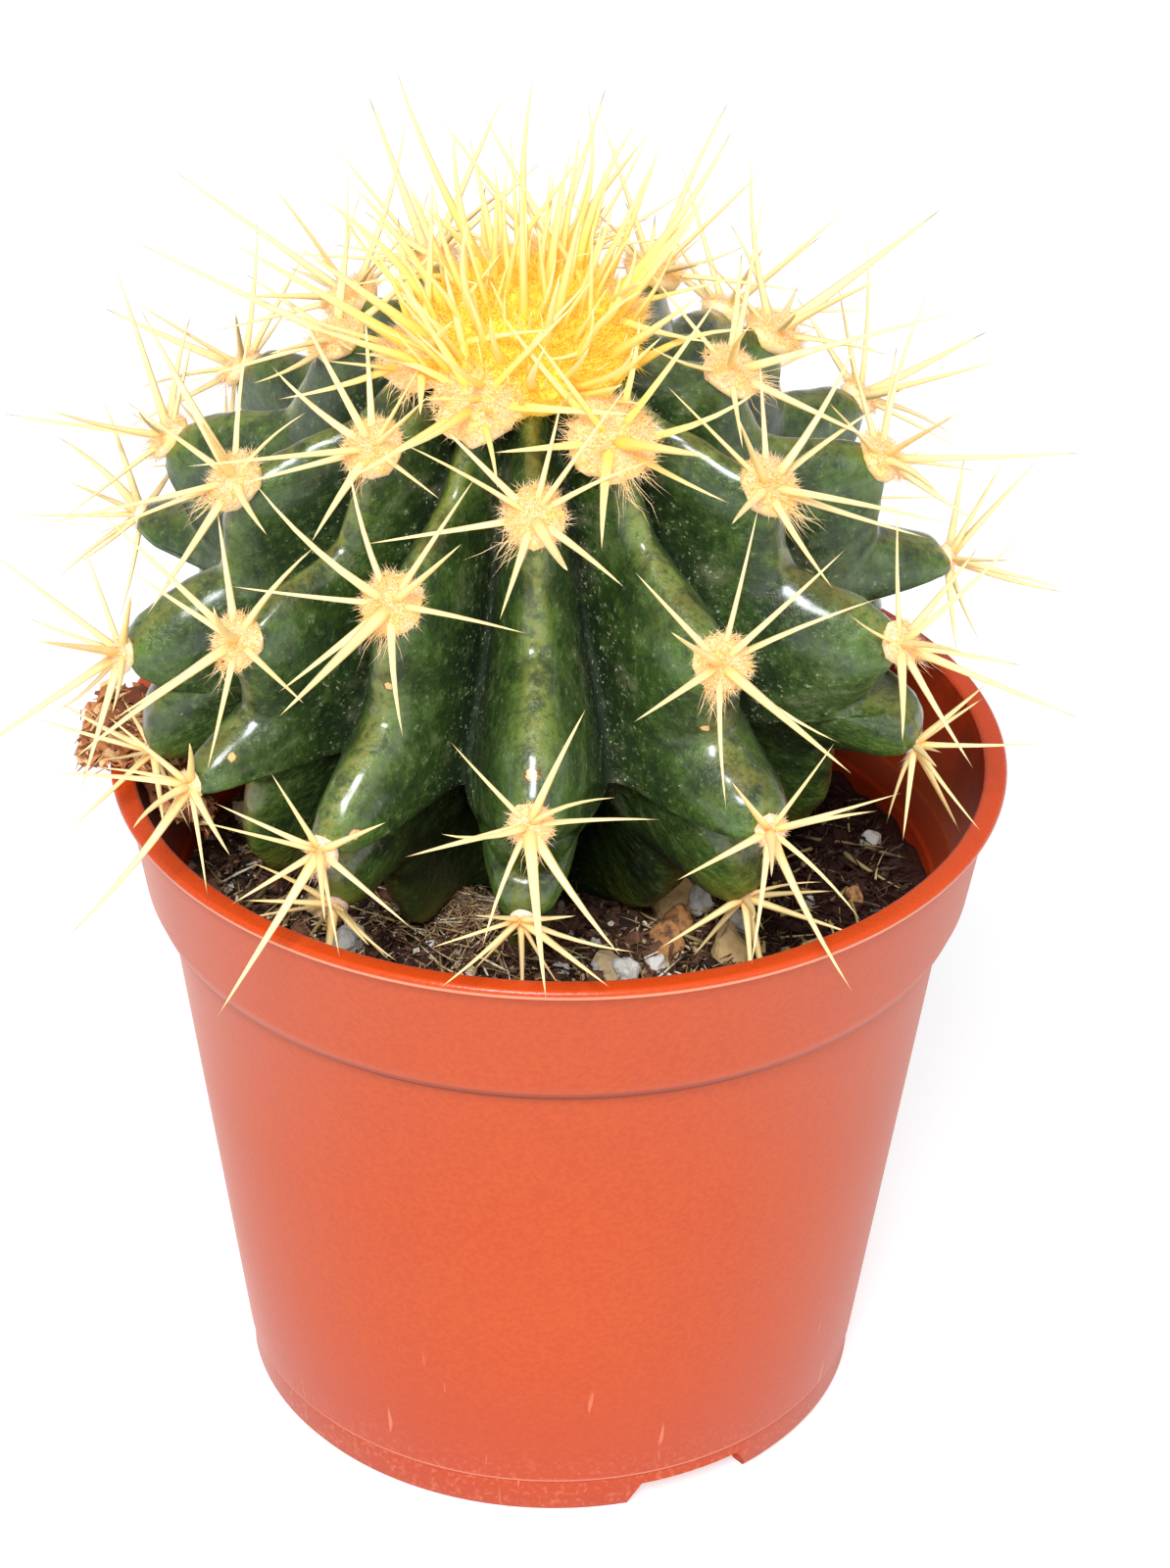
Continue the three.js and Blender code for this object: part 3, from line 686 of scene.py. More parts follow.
def skin_points(rib, angle):
    """Points of the skin in the plant's own frame, with what their finish depends on.

    rib runs from one crest to the next, whole on a crest and half in a groove."""
    rib = np.atleast_1d(np.asarray(rib, float))
    angle = np.atleast_1d(np.asarray(angle, float))
    near = np.round(rib).astype(int)
    left = np.floor(rib).astype(int)
    across = np.abs(rib - near) * 2
    share = rib - left
    heading = rib_heading(left, angle) * (1 - share) + rib_heading(left + 1, angle) * share
    nose = tubercle(near, angle)
    fade_in = smoothstep(angle, *RIBS_RISE)
    fade_out = 1 - smoothstep(angle, RIBS_FADE_FROM, NECK_ANGLE)
    rounded = np.hypot(across, CREST_ROUNDING) - CREST_ROUNDING
    rounded = rounded / (math.hypot(1, CREST_ROUNDING) - CREST_ROUNDING)
    sharp = rounded ** CREST_SHARPNESS
    blunt = smoothstep(rounded, *BLUNT_CREST)
    groove = sharp + (blunt - sharp) * nose * smoothstep(angle, *BLUNT_NOSES)
    deep = RIB_DEPTH + LOWER_RIB_DEPTH * smoothstep(angle, *DEEP_GROOVES)
    depth = deep * groove + TUBERCLE_DIP * (1 - nose) * (1 - groove)
    depth = depth * fade_in * fade_out
    radius, height = outline_point(angle)
    sideways, upwards = outline_normal(angle)
    radius = radius - depth * sideways
    return at_heading(radius, heading, height - depth * upwards), across, nose


def to_world(points):
    return points @ PLANT_TURN.T + PLANT_MIDDLE


COLUMNS = 24 * RIBS
ROWS = 180
NECK_SHARE = 0.95

# Dry scars on the skin: place from the pot's axis and radius, in mm
SCARS = [
    ((-15.0, -28.3, 91.3), 0.5),
    ((-1.9, -35.5, 87.1), 0.75),
    ((-18.3, -33.4, 79.8), 0.7),
    ((-29.4, -24.4, 81.5), 0.55),
    ((12.4, -28.5, 87.6), 0.5),
    ((22.4, -12.5, 95.0), 0.55),
    ((-22.0, 24.0, 88.0), 0.7),
    ((30.0, 20.0, 84.0), 0.6),
]


def skin_waves(points):
    """How far the skin swells or sinks at its points."""
    waves = []
    for point in points:
        broad = noise.noise(Vector(point) * BROAD_WAVES_PER_MM)
        fine = noise.noise(Vector(point) * FINE_WAVES_PER_MM)
        waves.append(SKIN_WAVES * (broad + FINE_WAVES * fine))
    return np.array(waves)


def draw_in_neck(points, polar):
    """Narrows the rows below the ribs into a neck that closes at its foot."""
    below = polar > NECK_SHARE
    radius, height = outline_point(NECK_ANGLE)
    share = (polar[below] - NECK_SHARE) / (1 - NECK_SHARE)
    shrink = np.where(share > 0.999, 0, 1 - NECK_TAPER * share / radius)
    points[below, :2] *= shrink[:, None]
    points[below, 2] = height - NECK_LENGTH * np.minimum(share * 1.2, 1)


def scars_on(mesh):
    """Each scar's place on the skin and its radius, in metres."""
    skin = corners_of(mesh)
    scars = []
    for place, radius in SCARS:
        away = np.linalg.norm(skin - (place + AXIS) * MM, axis=1)
        scars.append((tuple(float(v) for v in skin[away.argmin()]), radius * MM))
    return scars


def body_piece():
    """The ribbed skin on a sphere's corners, with its neck in the last rows."""
    form = bmesh.new()
    bmesh.ops.create_uvsphere(form, u_segments=COLUMNS, v_segments=ROWS, radius=1)
    mesh = mesh_of("cactus_body", form)
    sphere = corners_of(mesh)
    heading = np.mod(np.arctan2(sphere[:, 0], -sphere[:, 1]), TURN)
    rib = np.round(heading / TURN * COLUMNS) / COLUMNS * RIBS
    polar = np.arccos(np.clip(sphere[:, 2], -1, 1)) / math.pi
    angle = np.minimum(polar / NECK_SHARE, 1) * NECK_ANGLE
    points, across, nose = skin_points(rib, np.maximum(angle, 1e-3))
    points[polar < 1e-4] = (0, 0, outline_point(0.0)[1])
    draw_in_neck(points, polar)
    fade = smoothstep(angle, *WAVES_RISE) * (polar < NECK_SHARE)
    points = points + unit(points + 1e-9) * (skin_waves(points) * fade)[:, None]
    set_corners(mesh, to_world(points) * MM)
    set_number(mesh, "across", across)
    set_number(mesh, "nose", nose)
    set_number(mesh, "age", angle / OLDEST)
    normals = np.empty(len(mesh.vertices) * 3)
    mesh.vertices.foreach_get("normal", normals)
    set_number(mesh, "above", smoothstep(normals[2::3], *FACING_UP))
    skin = cactus_skin(scars_on(mesh))
    return object_of("cactus_flesh", mesh, skin, ["cactus_body"])


# Areoles

def list_areoles():
    """Every areole's node, place, outward direction and size, in the pot's frame."""
    areoles = []
    for rib, angles in enumerate(AREOLE_ANGLES):
        grown = [a for a in angles if CROWN_START <= a <= LAST_AREOLE]
        for row, angle in enumerate(grown):
            young = angle < CROWN_REACH
            place = skin_points(rib, angle)[0][0]
            sideways, upwards = outline_normal(angle)
            normal = at_heading(sideways, rib_heading(rib, angle), upwards)
            worn = smoothstep(angle, *PAD_WEAR)
            radius = PAD_RADIUS + (OLD_PAD_RADIUS - PAD_RADIUS) * worn
            areoles.append({
                "node": "crown" if young else f"areole_{rib + 1:02d}_{row + 1}",
                "place": to_world(place),
                "normal": PLANT_TURN @ normal,
                "radius": YOUNG_PAD_RADIUS if young else radius,
                "age": float(angle / OLDEST),
            })
    return areoles


AREOLES = list_areoles()
AREOLE_NODES = [a["node"] for a in AREOLES if a["node"] != "crown"]


def spines_in(node):
    """Roots and tips of the spines in a CAD node: sharp corners whose edges all run one way."""
    form = bmesh.new()
    form.from_mesh(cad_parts[node].data)
    bmesh.ops.remove_doubles(form, verts=form.verts, dist=2e-6)
    spines = []
    for corner in form.verts:
        ways = [(e.other_vert(corner).co - corner.co) for e in corner.link_edges]
        if len(ways) < 3 or max(w.length for w in ways) < SHORTEST_SPINE_EDGE * MM:
            continue
        mean = sum((w.normalized() for w in ways), Vector()).normalized()
        if min(w.normalized().dot(mean) for w in ways) < math.cos(SPINE_POINT):
            continue
        faces = []
        for face in sorted(corner.link_faces, key=lambda f: -f.calc_area()):
            if all(face.normal.dot(other) < SAME_FACE for other in faces):
                faces.append(face.normal.copy())
        if len(faces) < 3:
            continue
        axis = Matrix(faces[:3]).inverted() @ Vector((-1, -1, -1))
        slope = 1 / axis.length
        axis.normalize()
        length = CAD_SPINE_RADIUS / 2 / math.tan(math.asin(slope)) * MM
        spines.append((corner.co + axis * length, corner.co.copy()))
    form.free()
    return spines


def all_spines(nodes):
    roots, tips = [], []
    for node in nodes:
        for root, tip in spines_in(node):
            roots.append(root / MM)
            tips.append(tip / MM)
    return np.array(roots), np.array(tips)


SPINE_STRAND = strand_template(6, 6, lambda z: 0.85 * (1 - z) ** 0.75 + 0.15 * (1 - z) ** 7)
CROWN_STRAND = strand_template(6, 6, lambda z: 0.85 * (1 - z) ** 0.7 + 0.15 * (1 - z) ** 6)
HAIR_STRAND = strand_template(3, 2, lambda z: 1 - z * z)
FUZZ_STRAND = strand_template(3, 1, lambda z: 1 - z)


def spine_piece(name, nodes, material, strand, seed, radius, bow, extra=None):
    """The CAD nodes' spines at their places, made round and slightly bowed, with extra ones."""
    draw = np.random.default_rng(seed)
    roots, tips = all_spines(nodes)
    if extra is not None:
        roots, tips = np.concatenate([roots, extra[0]]), np.concatenate([tips, extra[1]])
    count = len(roots)
    lengths = np.linalg.norm(tips - roots, axis=1)
    sideways = unit(np.cross(tips - roots, draw.normal(size=(count, 3))))
    bends = sideways * (lengths * bow * draw.uniform(0, 1, count) ** 2)[:, None]
    radii = radius * np.sqrt(lengths / LONG_SPINE) * draw.uniform(0.75, 1.25, count)
    if extra is not None:
        radii[-len(extra[0]):] *= YOUNG_SPINE_SHARE
    youngest = PLANT_MIDDLE[2] + YOUNG_SPINE_LEVEL
    numbers = {
        "tint": draw.uniform(0, 1, count),
        "age": np.clip((youngest - roots[:, 2]) / SPINE_AGE_SPAN, 0, 1),
    }
    mesh = strands(name, strand, roots, tips, radii, bends, numbers, flatness=0.8)
    return object_of(name, mesh, material, nodes)


def wool_hairs(draw, areole, height, count, length, thick):
    """Short curling hairs all over a low dome at an areole."""
    normal = areole["normal"]
    around = draw.normal(size=(count, 3))
    around = unit(around - (around @ normal)[:, None] * normal)
    share = np.sqrt(draw.uniform(0, 1, count))
    lift = np.sqrt(1 - (share * 0.98) ** 2)
    roots = areole["place"] + around * (share * areole["radius"] * HAIR_ROOTS)[:, None] \
        + normal * (lift * height * HAIR_ROOTS)[:, None]
    ways = unit(around * (share * 0.9)[:, None] + normal * (0.7 * lift)[:, None]
                + draw.normal(scale=1.3, size=(count, 3)))
    reach = length * draw.uniform(0.4, 1.2, count) ** 1.5
    tips = roots + ways * reach[:, None]
    bends = draw.normal(scale=0.3, size=(count, 3)) * reach[:, None]
    return {"roots": roots, "tips": tips, "bends": bends, "thick": np.full(count, thick),
            "age": np.full(count, areole["age"]), "tint": draw.uniform(0, 1, count)}


def hanging_hairs(draw, areole):
    """A thin matted lock that hangs from the lower side of the wool, fuller on young wool."""
    radius = areole["radius"]
    count = int(draw.integers(6, 18) * radius)
    normal = areole["normal"]
    down = -PLANT_TURN[:, 2] + draw.normal(scale=0.3, size=3)
    down = unit(down - (down @ normal) * normal)
    roots = areole["place"] + down * radius * 0.7 + 0.5 * normal \
        + draw.normal(scale=0.12 + 0.14 * radius, size=(count, 3))
    ways = unit(down + draw.normal(scale=0.28, size=(count, 3)) + 0.12 * normal)
    reach = draw.uniform(0.4, 1.1, count) * (1.6 + 0.7 * radius)
    return {"roots": roots, "tips": roots + ways * reach[:, None],
            "bends": draw.normal(scale=0.06, size=(count, 3)) * reach[:, None],
            "thick": np.full(count, HANGING_HAIR_RADIUS),
            "age": np.full(count, max(areole["age"], 0.3)),
            "tint": draw.uniform(0.5, 1, count)}


def wool_dome(areole, height, seed, subdivisions):
    """A lumpy cushion of matted wool."""
    form = bmesh.new()
    bmesh.ops.create_icosphere(form, subdivisions=subdivisions, radius=1)
    turn = Vector((0, 0, 1)).rotation_difference(Vector(areole["normal"])).to_matrix()
    radius = areole["radius"] * DOME_SHARE
    for corner in form.verts:
        lump = 1 + 0.2 * noise.noise(corner.co * 2.6 + Vector((seed, 0, 0)))
        shape = Vector((corner.co.x * radius, corner.co.y * radius, corner.co.z * height))
        corner.co = Vector(areole["place"]) + turn @ (shape * lump)
    to_metres(form)
    dome = mesh_of("wool_dome", form)
    for name, value in (("age", areole["age"]), ("tint", 0.5), ("along", 0.1), ("under", 0.5)):
        set_number(dome, name, np.full(len(dome.vertices), value))
    return dome


def wool_of(draw, areole, count, length, thick, seed, subdivisions):
    """Fuzz, hanging lock and cushion of one areole."""
    height = areole["radius"] * PAD_FULLNESS
    return (wool_hairs(draw, areole, height, count, length, thick), hanging_hairs(draw, areole),
            wool_dome(areole, height * DOME_SHARE, seed, subdivisions))


def wool_piece(name, fuzz, locks, domes, material, replaced):
    """One piece of the wool of several areoles."""
    meshes = []
    for template, hairs in ((FUZZ_STRAND, fuzz), (HAIR_STRAND, locks)):
        parts = {key: np.concatenate([h[key] for h in hairs]) for key in hairs[0]}
        meshes.append(strands(name, template, parts["roots"], parts["tips"], parts["thick"],
                              parts["bends"], {"age": parts["age"], "tint": parts["tint"]}))
    return joined(name, [*meshes, *domes], material, replaced)


def areole_wool(name, areoles, material, seed):
    draw = np.random.default_rng(seed)
    grown = [
        wool_of(draw, areole, int(HAIRS_PER_AREA * areole["radius"] ** 2),
                HAIR_SHARE * areole["radius"], HAIR_RADIUS, seed + index, subdivisions=2)
        for index, areole in enumerate(areoles)
    ]
    return wool_piece(name, *zip(*grown), material, [a["node"] for a in areoles])


def crown_wool(material):
    draw = np.random.default_rng(9)
    crown = {"place": to_world(np.array([0, 0, CROWN_LEVEL])), "radius": CROWN_RADIUS,
             "normal": PLANT_TURN @ np.array([0, 0, 1.0]), "age": 0.0}
    fuzz = wool_hairs(draw, crown, CROWN_HEIGHT, CROWN_HAIRS, CROWN_HAIR_LENGTH,
                      CROWN_HAIR_RADIUS)
    dome = wool_dome(crown, CROWN_HEIGHT * DOME_SHARE, seed=70, subdivisions=4)
    grown = [
        wool_of(draw, areole, YOUNG_HAIRS, YOUNG_HAIR_LENGTH, YOUNG_HAIR_RADIUS,
                seed=100 + index, subdivisions=3)
        for index, areole in enumerate(AREOLES) if areole["node"] == "crown"
    ]
    young_fuzz, locks, domes = zip(*grown)
    return wool_piece("crown_wool", [fuzz, *young_fuzz], locks, [dome, *domes], material,
                      ["crown"])


def young_spines():
    """More upright spines among the crown's, thinner and shorter."""
    draw = np.random.default_rng(13)
    share = (np.arange(YOUNG_SPINES) + 0.5) / YOUNG_SPINES
    heading = np.arange(YOUNG_SPINES) * math.pi * (3 - math.sqrt(5)) + 0.7
    tilt = INNER_TILT + (OUTER_TILT - INNER_TILT) * share
    tilt = (tilt + draw.uniform(-TILT_STRAY, TILT_STRAY, YOUNG_SPINES)) * DEGREE
    roots = at_heading(CROWN_RADIUS * 0.98 * np.sqrt(share), heading,
                       CROWN_LEVEL + CROWN_HEIGHT * 0.5 * (1 - share))
    ways = at_heading(np.sin(tilt), heading, np.cos(tilt))
    shortest, longest = YOUNG_SPINE_LENGTHS
    lengths = shortest + (longest - shortest) * draw.uniform(0, 1, YOUNG_SPINES) ** 1.5
    return to_world(roots), to_world(roots + ways * lengths[:, None])


# Soil and what lies on it

def soil_height(x, y):
    """Height of the ground at a place from the pot's axis."""
    mound = smoothstep(GROUND_RADIUS - np.hypot(x, y), 0, MOUND_SLOPE)
    side = smoothstep(LOW_SIDE - x, 0, LOW_SIDE_SLOPE)
    height = SOIL_EDGE + SOIL_MOUND * mound * (LOW_SIDE_SHARE + (1 - LOW_SIDE_SHARE) * side)
    height = height + 0.55 * np.sin(0.53 * x + 1.1) * np.sin(0.47 * y - 0.6)
    return height + 0.33 * np.sin(1.13 * x - 0.83 * y)


def clods(x, y):
    """Crumbly relief of the ground: broad swells, clods and crumbs."""
    place = Vector((x, y, 0))
    clod = 0.5 - noise.voronoi(place * CLODS_PER_MM)[0][0]
    crumb = 0.5 - noise.voronoi(place * CRUMBS_PER_MM + Vector((7, 0, 0)))[0][0]
    swell = noise.noise(place * SWELLS_PER_MM)
    return CLOD_HEIGHT * clod + CRUMB_HEIGHT * crumb + SWELL_HEIGHT * swell


def ground_level(places):
    """Height of the crumbly ground at places from the pot's axis."""
    relief = np.array([clods(x, y) for x, y in places[:, :2]])
    return soil_height(places[:, 0], places[:, 1]) + relief


def soil_piece(material):
    edge = pot_body_radius(SOIL_EDGE) - WALL - SOIL_ROOM
    foot = pot_body_radius(FLOOR_TOP + GAP) - WALL - GAP
    rim = SOIL_EDGE - SOIL_EDGE_DEPTH
    profile = [(0, FLOOR_TOP + GAP), (foot, FLOOR_TOP + GAP), (edge, rim)]
    profile += [(edge * ring / SOIL_RINGS, SOIL_EDGE) for ring in range(SOIL_RINGS, -1, -1)]
    form = turned_profile(profile, SOIL_STEPS)
    for corner in form.verts:
        if corner.co.z < SOIL_EDGE - SLACK:
            continue
        x, y = corner.co.x, corner.co.y
        from_wall = min(1, (edge - math.hypot(x, y)) / RELIEF_FADE)
        corner.co.z = float(soil_height(x, y)) + from_wall * clods(x, y) - RELIEF_DROP
    to_metres(form, POT_AXIS)
    return object_of("potting_soil", mesh_of("soil", form), material, ["soil"])


def crumb_template(seed, subdivisions, lumpiness):
    form = bmesh.new()
    bmesh.ops.create_icosphere(form, subdivisions=subdivisions, radius=1)
    for corner in form.verts:
        corner.co *= 1 + lumpiness * noise.noise(corner.co * 1.3 + Vector((seed, seed, 0)))
    return mesh_of("crumb", form)


def random_turns(draw, count):
    first = unit(draw.normal(size=(count, 3)))
    second = unit(np.cross(first, draw.normal(size=(count, 3))))
    return np.stack([first, second, np.cross(first, second)], 1)


def ground_places(draw, count, nearest, furthest):
    """Places all over the ground between two distances from the pot's axis, still at 0."""
    heading = draw.uniform(0, TURN, count)
    radius = np.sqrt(draw.uniform(nearest ** 2, furthest ** 2, count))
    return at_heading(radius, heading, 0.0)


def scattered(name, template, seed, count, sizes, squash, lift, tint, furthest):
    """Crumbs lying about on the ground, lifted by a share of their size."""
    draw = np.random.default_rng(seed)
    places = ground_places(draw, count, CRUMBS_FROM, furthest)
    size = draw.uniform(*sizes, count)
    places[:, 2] = ground_level(places) + size * lift
    return crumbs_at(name, draw, template, places, size, squash, draw.uniform(*tint, count))


def crumbs_at(name, draw, template, places, size, squash, tint):
    """The template at places from the pot's axis, turned and stretched by chance."""
    shape = corners_of(template)
    stretch = draw.uniform(*squash, (len(places), 1, 3)) * size[:, None, None]
    turned = np.einsum("nij,nvj->nvi", random_turns(draw, len(places)), shape[None] * stretch)
    corners = turned + (places + AXIS)[:, None]
    spread = np.repeat(tint[:, None], len(shape), 1)
    return repeated(name, template, corners, {"tint": spread}, smooth=False)


def lying_strands(name, template, seed, count, lengths, radii, lifts, tint=(0, 1), mat=None):
    """Thin straight things on the ground, ends lifted by chance, all over or in one mat."""
    draw = np.random.default_rng(seed)
    places = ground_places(draw, count, *STRANDS_LIE)
    if mat is not None:
        places[:, :2] = draw.normal(mat[:2], mat[2:], (count, 2))
    heading = draw.uniform(0, TURN, count)
    length = draw.uniform(*lengths, count)
    ways = np.stack([np.cos(heading), np.sin(heading), np.zeros(count)], -1)
    ends = places + ways * length[:, None]
    ends[:, :2] *= np.minimum(1, GROUND_RADIUS / np.hypot(ends[:, 0], ends[:, 1]))[:, None]
    for row in (places, ends):
        row[:, 2] = ground_level(row) + draw.uniform(*lifts, count)
    bends = draw.normal(scale=0.04, size=(count, 3)) * length[:, None]
    numbers = {"tint": draw.uniform(*tint, count), "age": np.full(count, 1.0)}
    return strands(name, template, places + AXIS, ends + AXIS, draw.uniform(*radii, count),
                   bends, numbers)


FIBRE_STRAND = strand_template(3, 2, lambda z: 1 - 0.4 * abs(2 * z - 1) ** 2)

# Dry fibres matted by the front rib: middle from the pot's axis and spread, in mm
ROOT_MAT = (-8.5, -11.0, 3.6, 2.2)


def ground_crumbs(material):
    small = crumb_template(3, subdivisions=1, lumpiness=0.9)
    meshes = [
        scattered("crumbs", small, seed=21, count=4600, sizes=(0.12, 0.5), squash=(0.3, 1.4),
                  lift=0.3, tint=(0, 1), furthest=GROUND_RADIUS),
        scattered("bark_bits", small, seed=22, count=620, sizes=(0.4, 1.1), squash=(0.08, 1.7),
                  lift=0.4, tint=(0, 0.7), furthest=33.4),
        lying_strands("fibres", FIBRE_STRAND, seed=23, count=3200, lengths=(0.8, 5),
                      radii=(0.05, 0.18), lifts=(0.1, 1.3)),
        lying_strands("root_mat", FIBRE_STRAND, seed=24, count=700, lengths=(0.8, 4),
                      radii=(0.03, 0.1), lifts=(0.2, 1.8), tint=(0.66, 0.97), mat=ROOT_MAT),
    ]
    return joined("soil_crumbs", meshes, material)


def ground_grit(material):
    angular = crumb_template(8, subdivisions=2, lumpiness=0.75)
    meshes = [
        scattered("perlite", angular, seed=31, count=60, sizes=(0.4, 0.95), squash=(0.6, 1.2),
                  lift=0.45, tint=(0.7, 1), furthest=34.0),
        scattered("chips_of_stone", angular, seed=32, count=20, sizes=(0.6, 1.5),
                  squash=(0.6, 1.25), lift=0.35, tint=(0, 0.6), furthest=32.8),
        stones(crumb_template(5, subdivisions=3, lumpiness=0.42)),
    ]
    return joined("soil_grit", meshes, material)


# Larger stones seen in the photograph: place from the pot's axis, half size, tint
STONES = [
    (10.6, -6.8, 2.3, 0.42),
    (13.6, -7.0, 1.5, 0.62),
    (11.6, -11.0, 2.0, 0.08),
    (10.2, -14.0, 1.8, 0.02),
    (16.4, -14.6, 2.2, 0.50),
    (17.4, -9.4, 1.6, 0.60),
    (6.6, -18.9, 1.7, 0.72),
    (9.2, -17.8, 1.0, 0.66),
    (0.4, -19.6, 0.9, 0.75),
    (-19.6, -16.0, 1.9, 0.64),
    (-22.6, -10.4, 1.4, 0.40),
    (-30.2, 9.5, 1.9, 0.55),
    (30.8, 8.2, 1.0, 0.66),
    (24.2, -12.6, 1.2, 0.30),
]


def stones(template):
    draw = np.random.default_rng(37)
    table = np.array(STONES)
    x, y, size = table[:, 0], table[:, 1], table[:, 2]
    places = np.stack([x, y, soil_height(x, y) + 0.55 * size], -1)
    return crumbs_at("stones", draw, template, places, size, (0.7, 1.15), table[:, 3])


def fallen_spines(material):
    """Old spines and straws that lie on the soil."""
    mesh = lying_strands("fallen_spines", SPINE_STRAND, seed=44, count=240, lengths=(3, 11),
                         radii=(0.12, 0.34), lifts=(0.1, 1.2))
    return object_of("fallen_spines", mesh, material)


# Bark flake

FLAKE_HEADING = -88 * DEGREE
FLAKE_WIDTH = 13.0
FLAKE_OUTER = 45.2
FLAKE_INNER = 33.5
FLAKE_OUTER_FALL = 0.7
FLAKE_INNER_FALL = 1.35
FLAKE_RIM_ROOM = 0.9
FLAKE_CURL = 3.2
FLAKE_FIBRES = 800
FLAKE_CHIPS = 420


def flake_bottom(radius):
    outer_fall = FLAKE_OUTER_FALL * np.maximum(radius - RIM_RADIUS - GAP, 0)
    inner_fall = FLAKE_INNER_FALL * np.maximum(INNER_RIM_RADIUS - FLAKE_RIM_ROOM - radius, 0)
    return POT_HEIGHT + GAP - outer_fall - inner_fall


def flake_point(along, across, lift):
    """Places on the flake: along it from the soil to over the rim and across it, where both
    run from -0.5 to 0.5, and up."""
    length = (FLAKE_OUTER - FLAKE_INNER) * (1 - 0.5 * across ** 2)
    radius = (FLAKE_OUTER + FLAKE_INNER) / 2 + length * along
    heading = FLAKE_HEADING + across * FLAKE_WIDTH * (1 - 0.25 * along) / radius
    return at_heading(radius, heading, flake_bottom(radius) + FLAKE_CURL * across ** 2 + lift)


def flake_fibres(draw):
    """Fibres along the flake, from its lower side to its upper side."""
    count = FLAKE_FIBRES
    along = draw.uniform(-0.55, 0.38, count)
    across = draw.uniform(-0.48, 0.48, count)
    lift = draw.uniform(0.15, 2.4, count) * (1 - 1.4 * across ** 2)
    run = draw.uniform(0.08, 0.26, count)
    roots = flake_point(along, across, lift)
    aside = np.clip(across + draw.normal(scale=0.12, size=count), -0.53, 0.53)
    tips = flake_point(np.minimum(along + run, 0.56), aside,
                       np.maximum(lift + draw.normal(scale=0.6, size=count), 0.2))
    bends = draw.normal(scale=0.4, size=(count, 3))
    fibre = strand_template(4, 3, lambda z: 1 - 0.55 * abs(2 * z - 1) ** 2)
    return strands("bark_fibres", fibre, roots + AXIS, tips + AXIS,
                   draw.uniform(0.08, 0.32, count), bends, {"tint": draw.uniform(0, 1, count)},
                   flatness=0.55)


def flake_core():
    """The dense middle of the flake, thickest along its line."""
    form = bmesh.new()
    bmesh.ops.create_cube(form, size=1)
    bmesh.ops.subdivide_edges(form, edges=form.edges, cuts=11, use_grid_fill=True)
    for corner in form.verts:
        across, along, top = corner.co.x, corner.co.y, corner.co.z + 0.5
        rough = noise.noise(corner.co * 9)
        thick = (0.35 + 1.2 * (1 - 1.6 * across * across)) * (1 + 0.6 * rough)
        corner.co = flake_point(along * 0.86, across * 0.92, 0.2 + top * thick)
    bmesh.ops.recalc_face_normals(form, faces=form.faces)
    to_metres(form, POT_AXIS)
    core = mesh_of("bark_core", form)
    set_number(core, "tint", np.full(len(core.vertices), 0.15))
    set_number(core, "along", np.full(len(core.vertices), 0.5))
    return core


def bark_chips(draw, places, largest, thinnest):
    """Thin chips at places from the pot's axis."""
    count = len(places)
    size = draw.uniform(0.3, largest, count)
    tint = draw.uniform(0, 1, count)
    chip = crumb_template(4, subdivisions=1, lumpiness=0.9)
    return crumbs_at("bark_chips", draw, chip, places, size, (thinnest, 1.5), tint)


def bark_piece(material):
    draw = np.random.default_rng(61)
    fibres = flake_fibres(draw)
    places = flake_point(draw.uniform(-0.53, 0.5, FLAKE_CHIPS),
                         draw.uniform(-0.5, 0.5, FLAKE_CHIPS),
                         draw.uniform(0.5, 1.9, FLAKE_CHIPS))
    chips = bark_chips(draw, places, largest=1.0, thinnest=0.15)
    return joined("bark_flake_fibres", [fibres, flake_core(), chips], material,
                  ["bark_flake"])


# Mulch caught between the flake and the pot's wall: middle and half size, in mm
HEAP_HEADING = -94 * DEGREE
HEAP_RADIUS = 37.2
HEAP_LEVEL = 65.2
HEAP_DEPTH = 3.0
HEAP_WIDTH = 10.5
HEAP_HEIGHT = 3.2
HEAP_CHIPS = 1000


def heap_places(away):
    """Places on the heap for ways out of its middle: from the axis, round it and up."""
    height = HEAP_LEVEL + HEAP_HEIGHT * away[:, 2]
    wall = np.interp(height, *OUTER_WALL) - WALL - 0.4
    radius = np.minimum(HEAP_RADIUS + HEAP_DEPTH * away[:, 0], wall)
    return at_heading(radius, HEAP_HEADING + HEAP_WIDTH * away[:, 1] / HEAP_RADIUS, height)


def heap_core():
    form = bmesh.new()
    bmesh.ops.create_icosphere(form, subdivisions=4, radius=1)
    core = mesh_of("heap", form)
    away = corners_of(core)
    lumps = np.array([0.85 + 0.3 * noise.noise(Vector(way) * 2.5) for way in away])
    set_corners(core, (heap_places(away * lumps[:, None]) + AXIS) * MM)
    set_number(core, "tint", np.full(len(away), 0.2))
    return core


def mulch_piece(material):
    draw = np.random.default_rng(71)
    count = HEAP_CHIPS
    ways = unit(draw.normal(size=(count, 3)))
    ways[:, 0] = -np.abs(ways[:, 0])
    ways[:, 2] = np.abs(ways[:, 2])
    roots = heap_places(ways)
    chips = bark_chips(draw, roots, largest=1.2, thinnest=0.12)
    tips = heap_places(unit(ways + draw.normal(scale=0.35, size=(count, 3))))
    shreds = strands("shreds", FIBRE_STRAND, roots + AXIS, tips + AXIS,
                     draw.uniform(0.06, 0.22, count), draw.normal(scale=0.4, size=(count, 3)),
                     {"tint": draw.uniform(0.2, 1, count)})
    return joined("bark_mulch", [heap_core(), chips, shreds], material)


# Finishes, with colours as linear red, green and blue

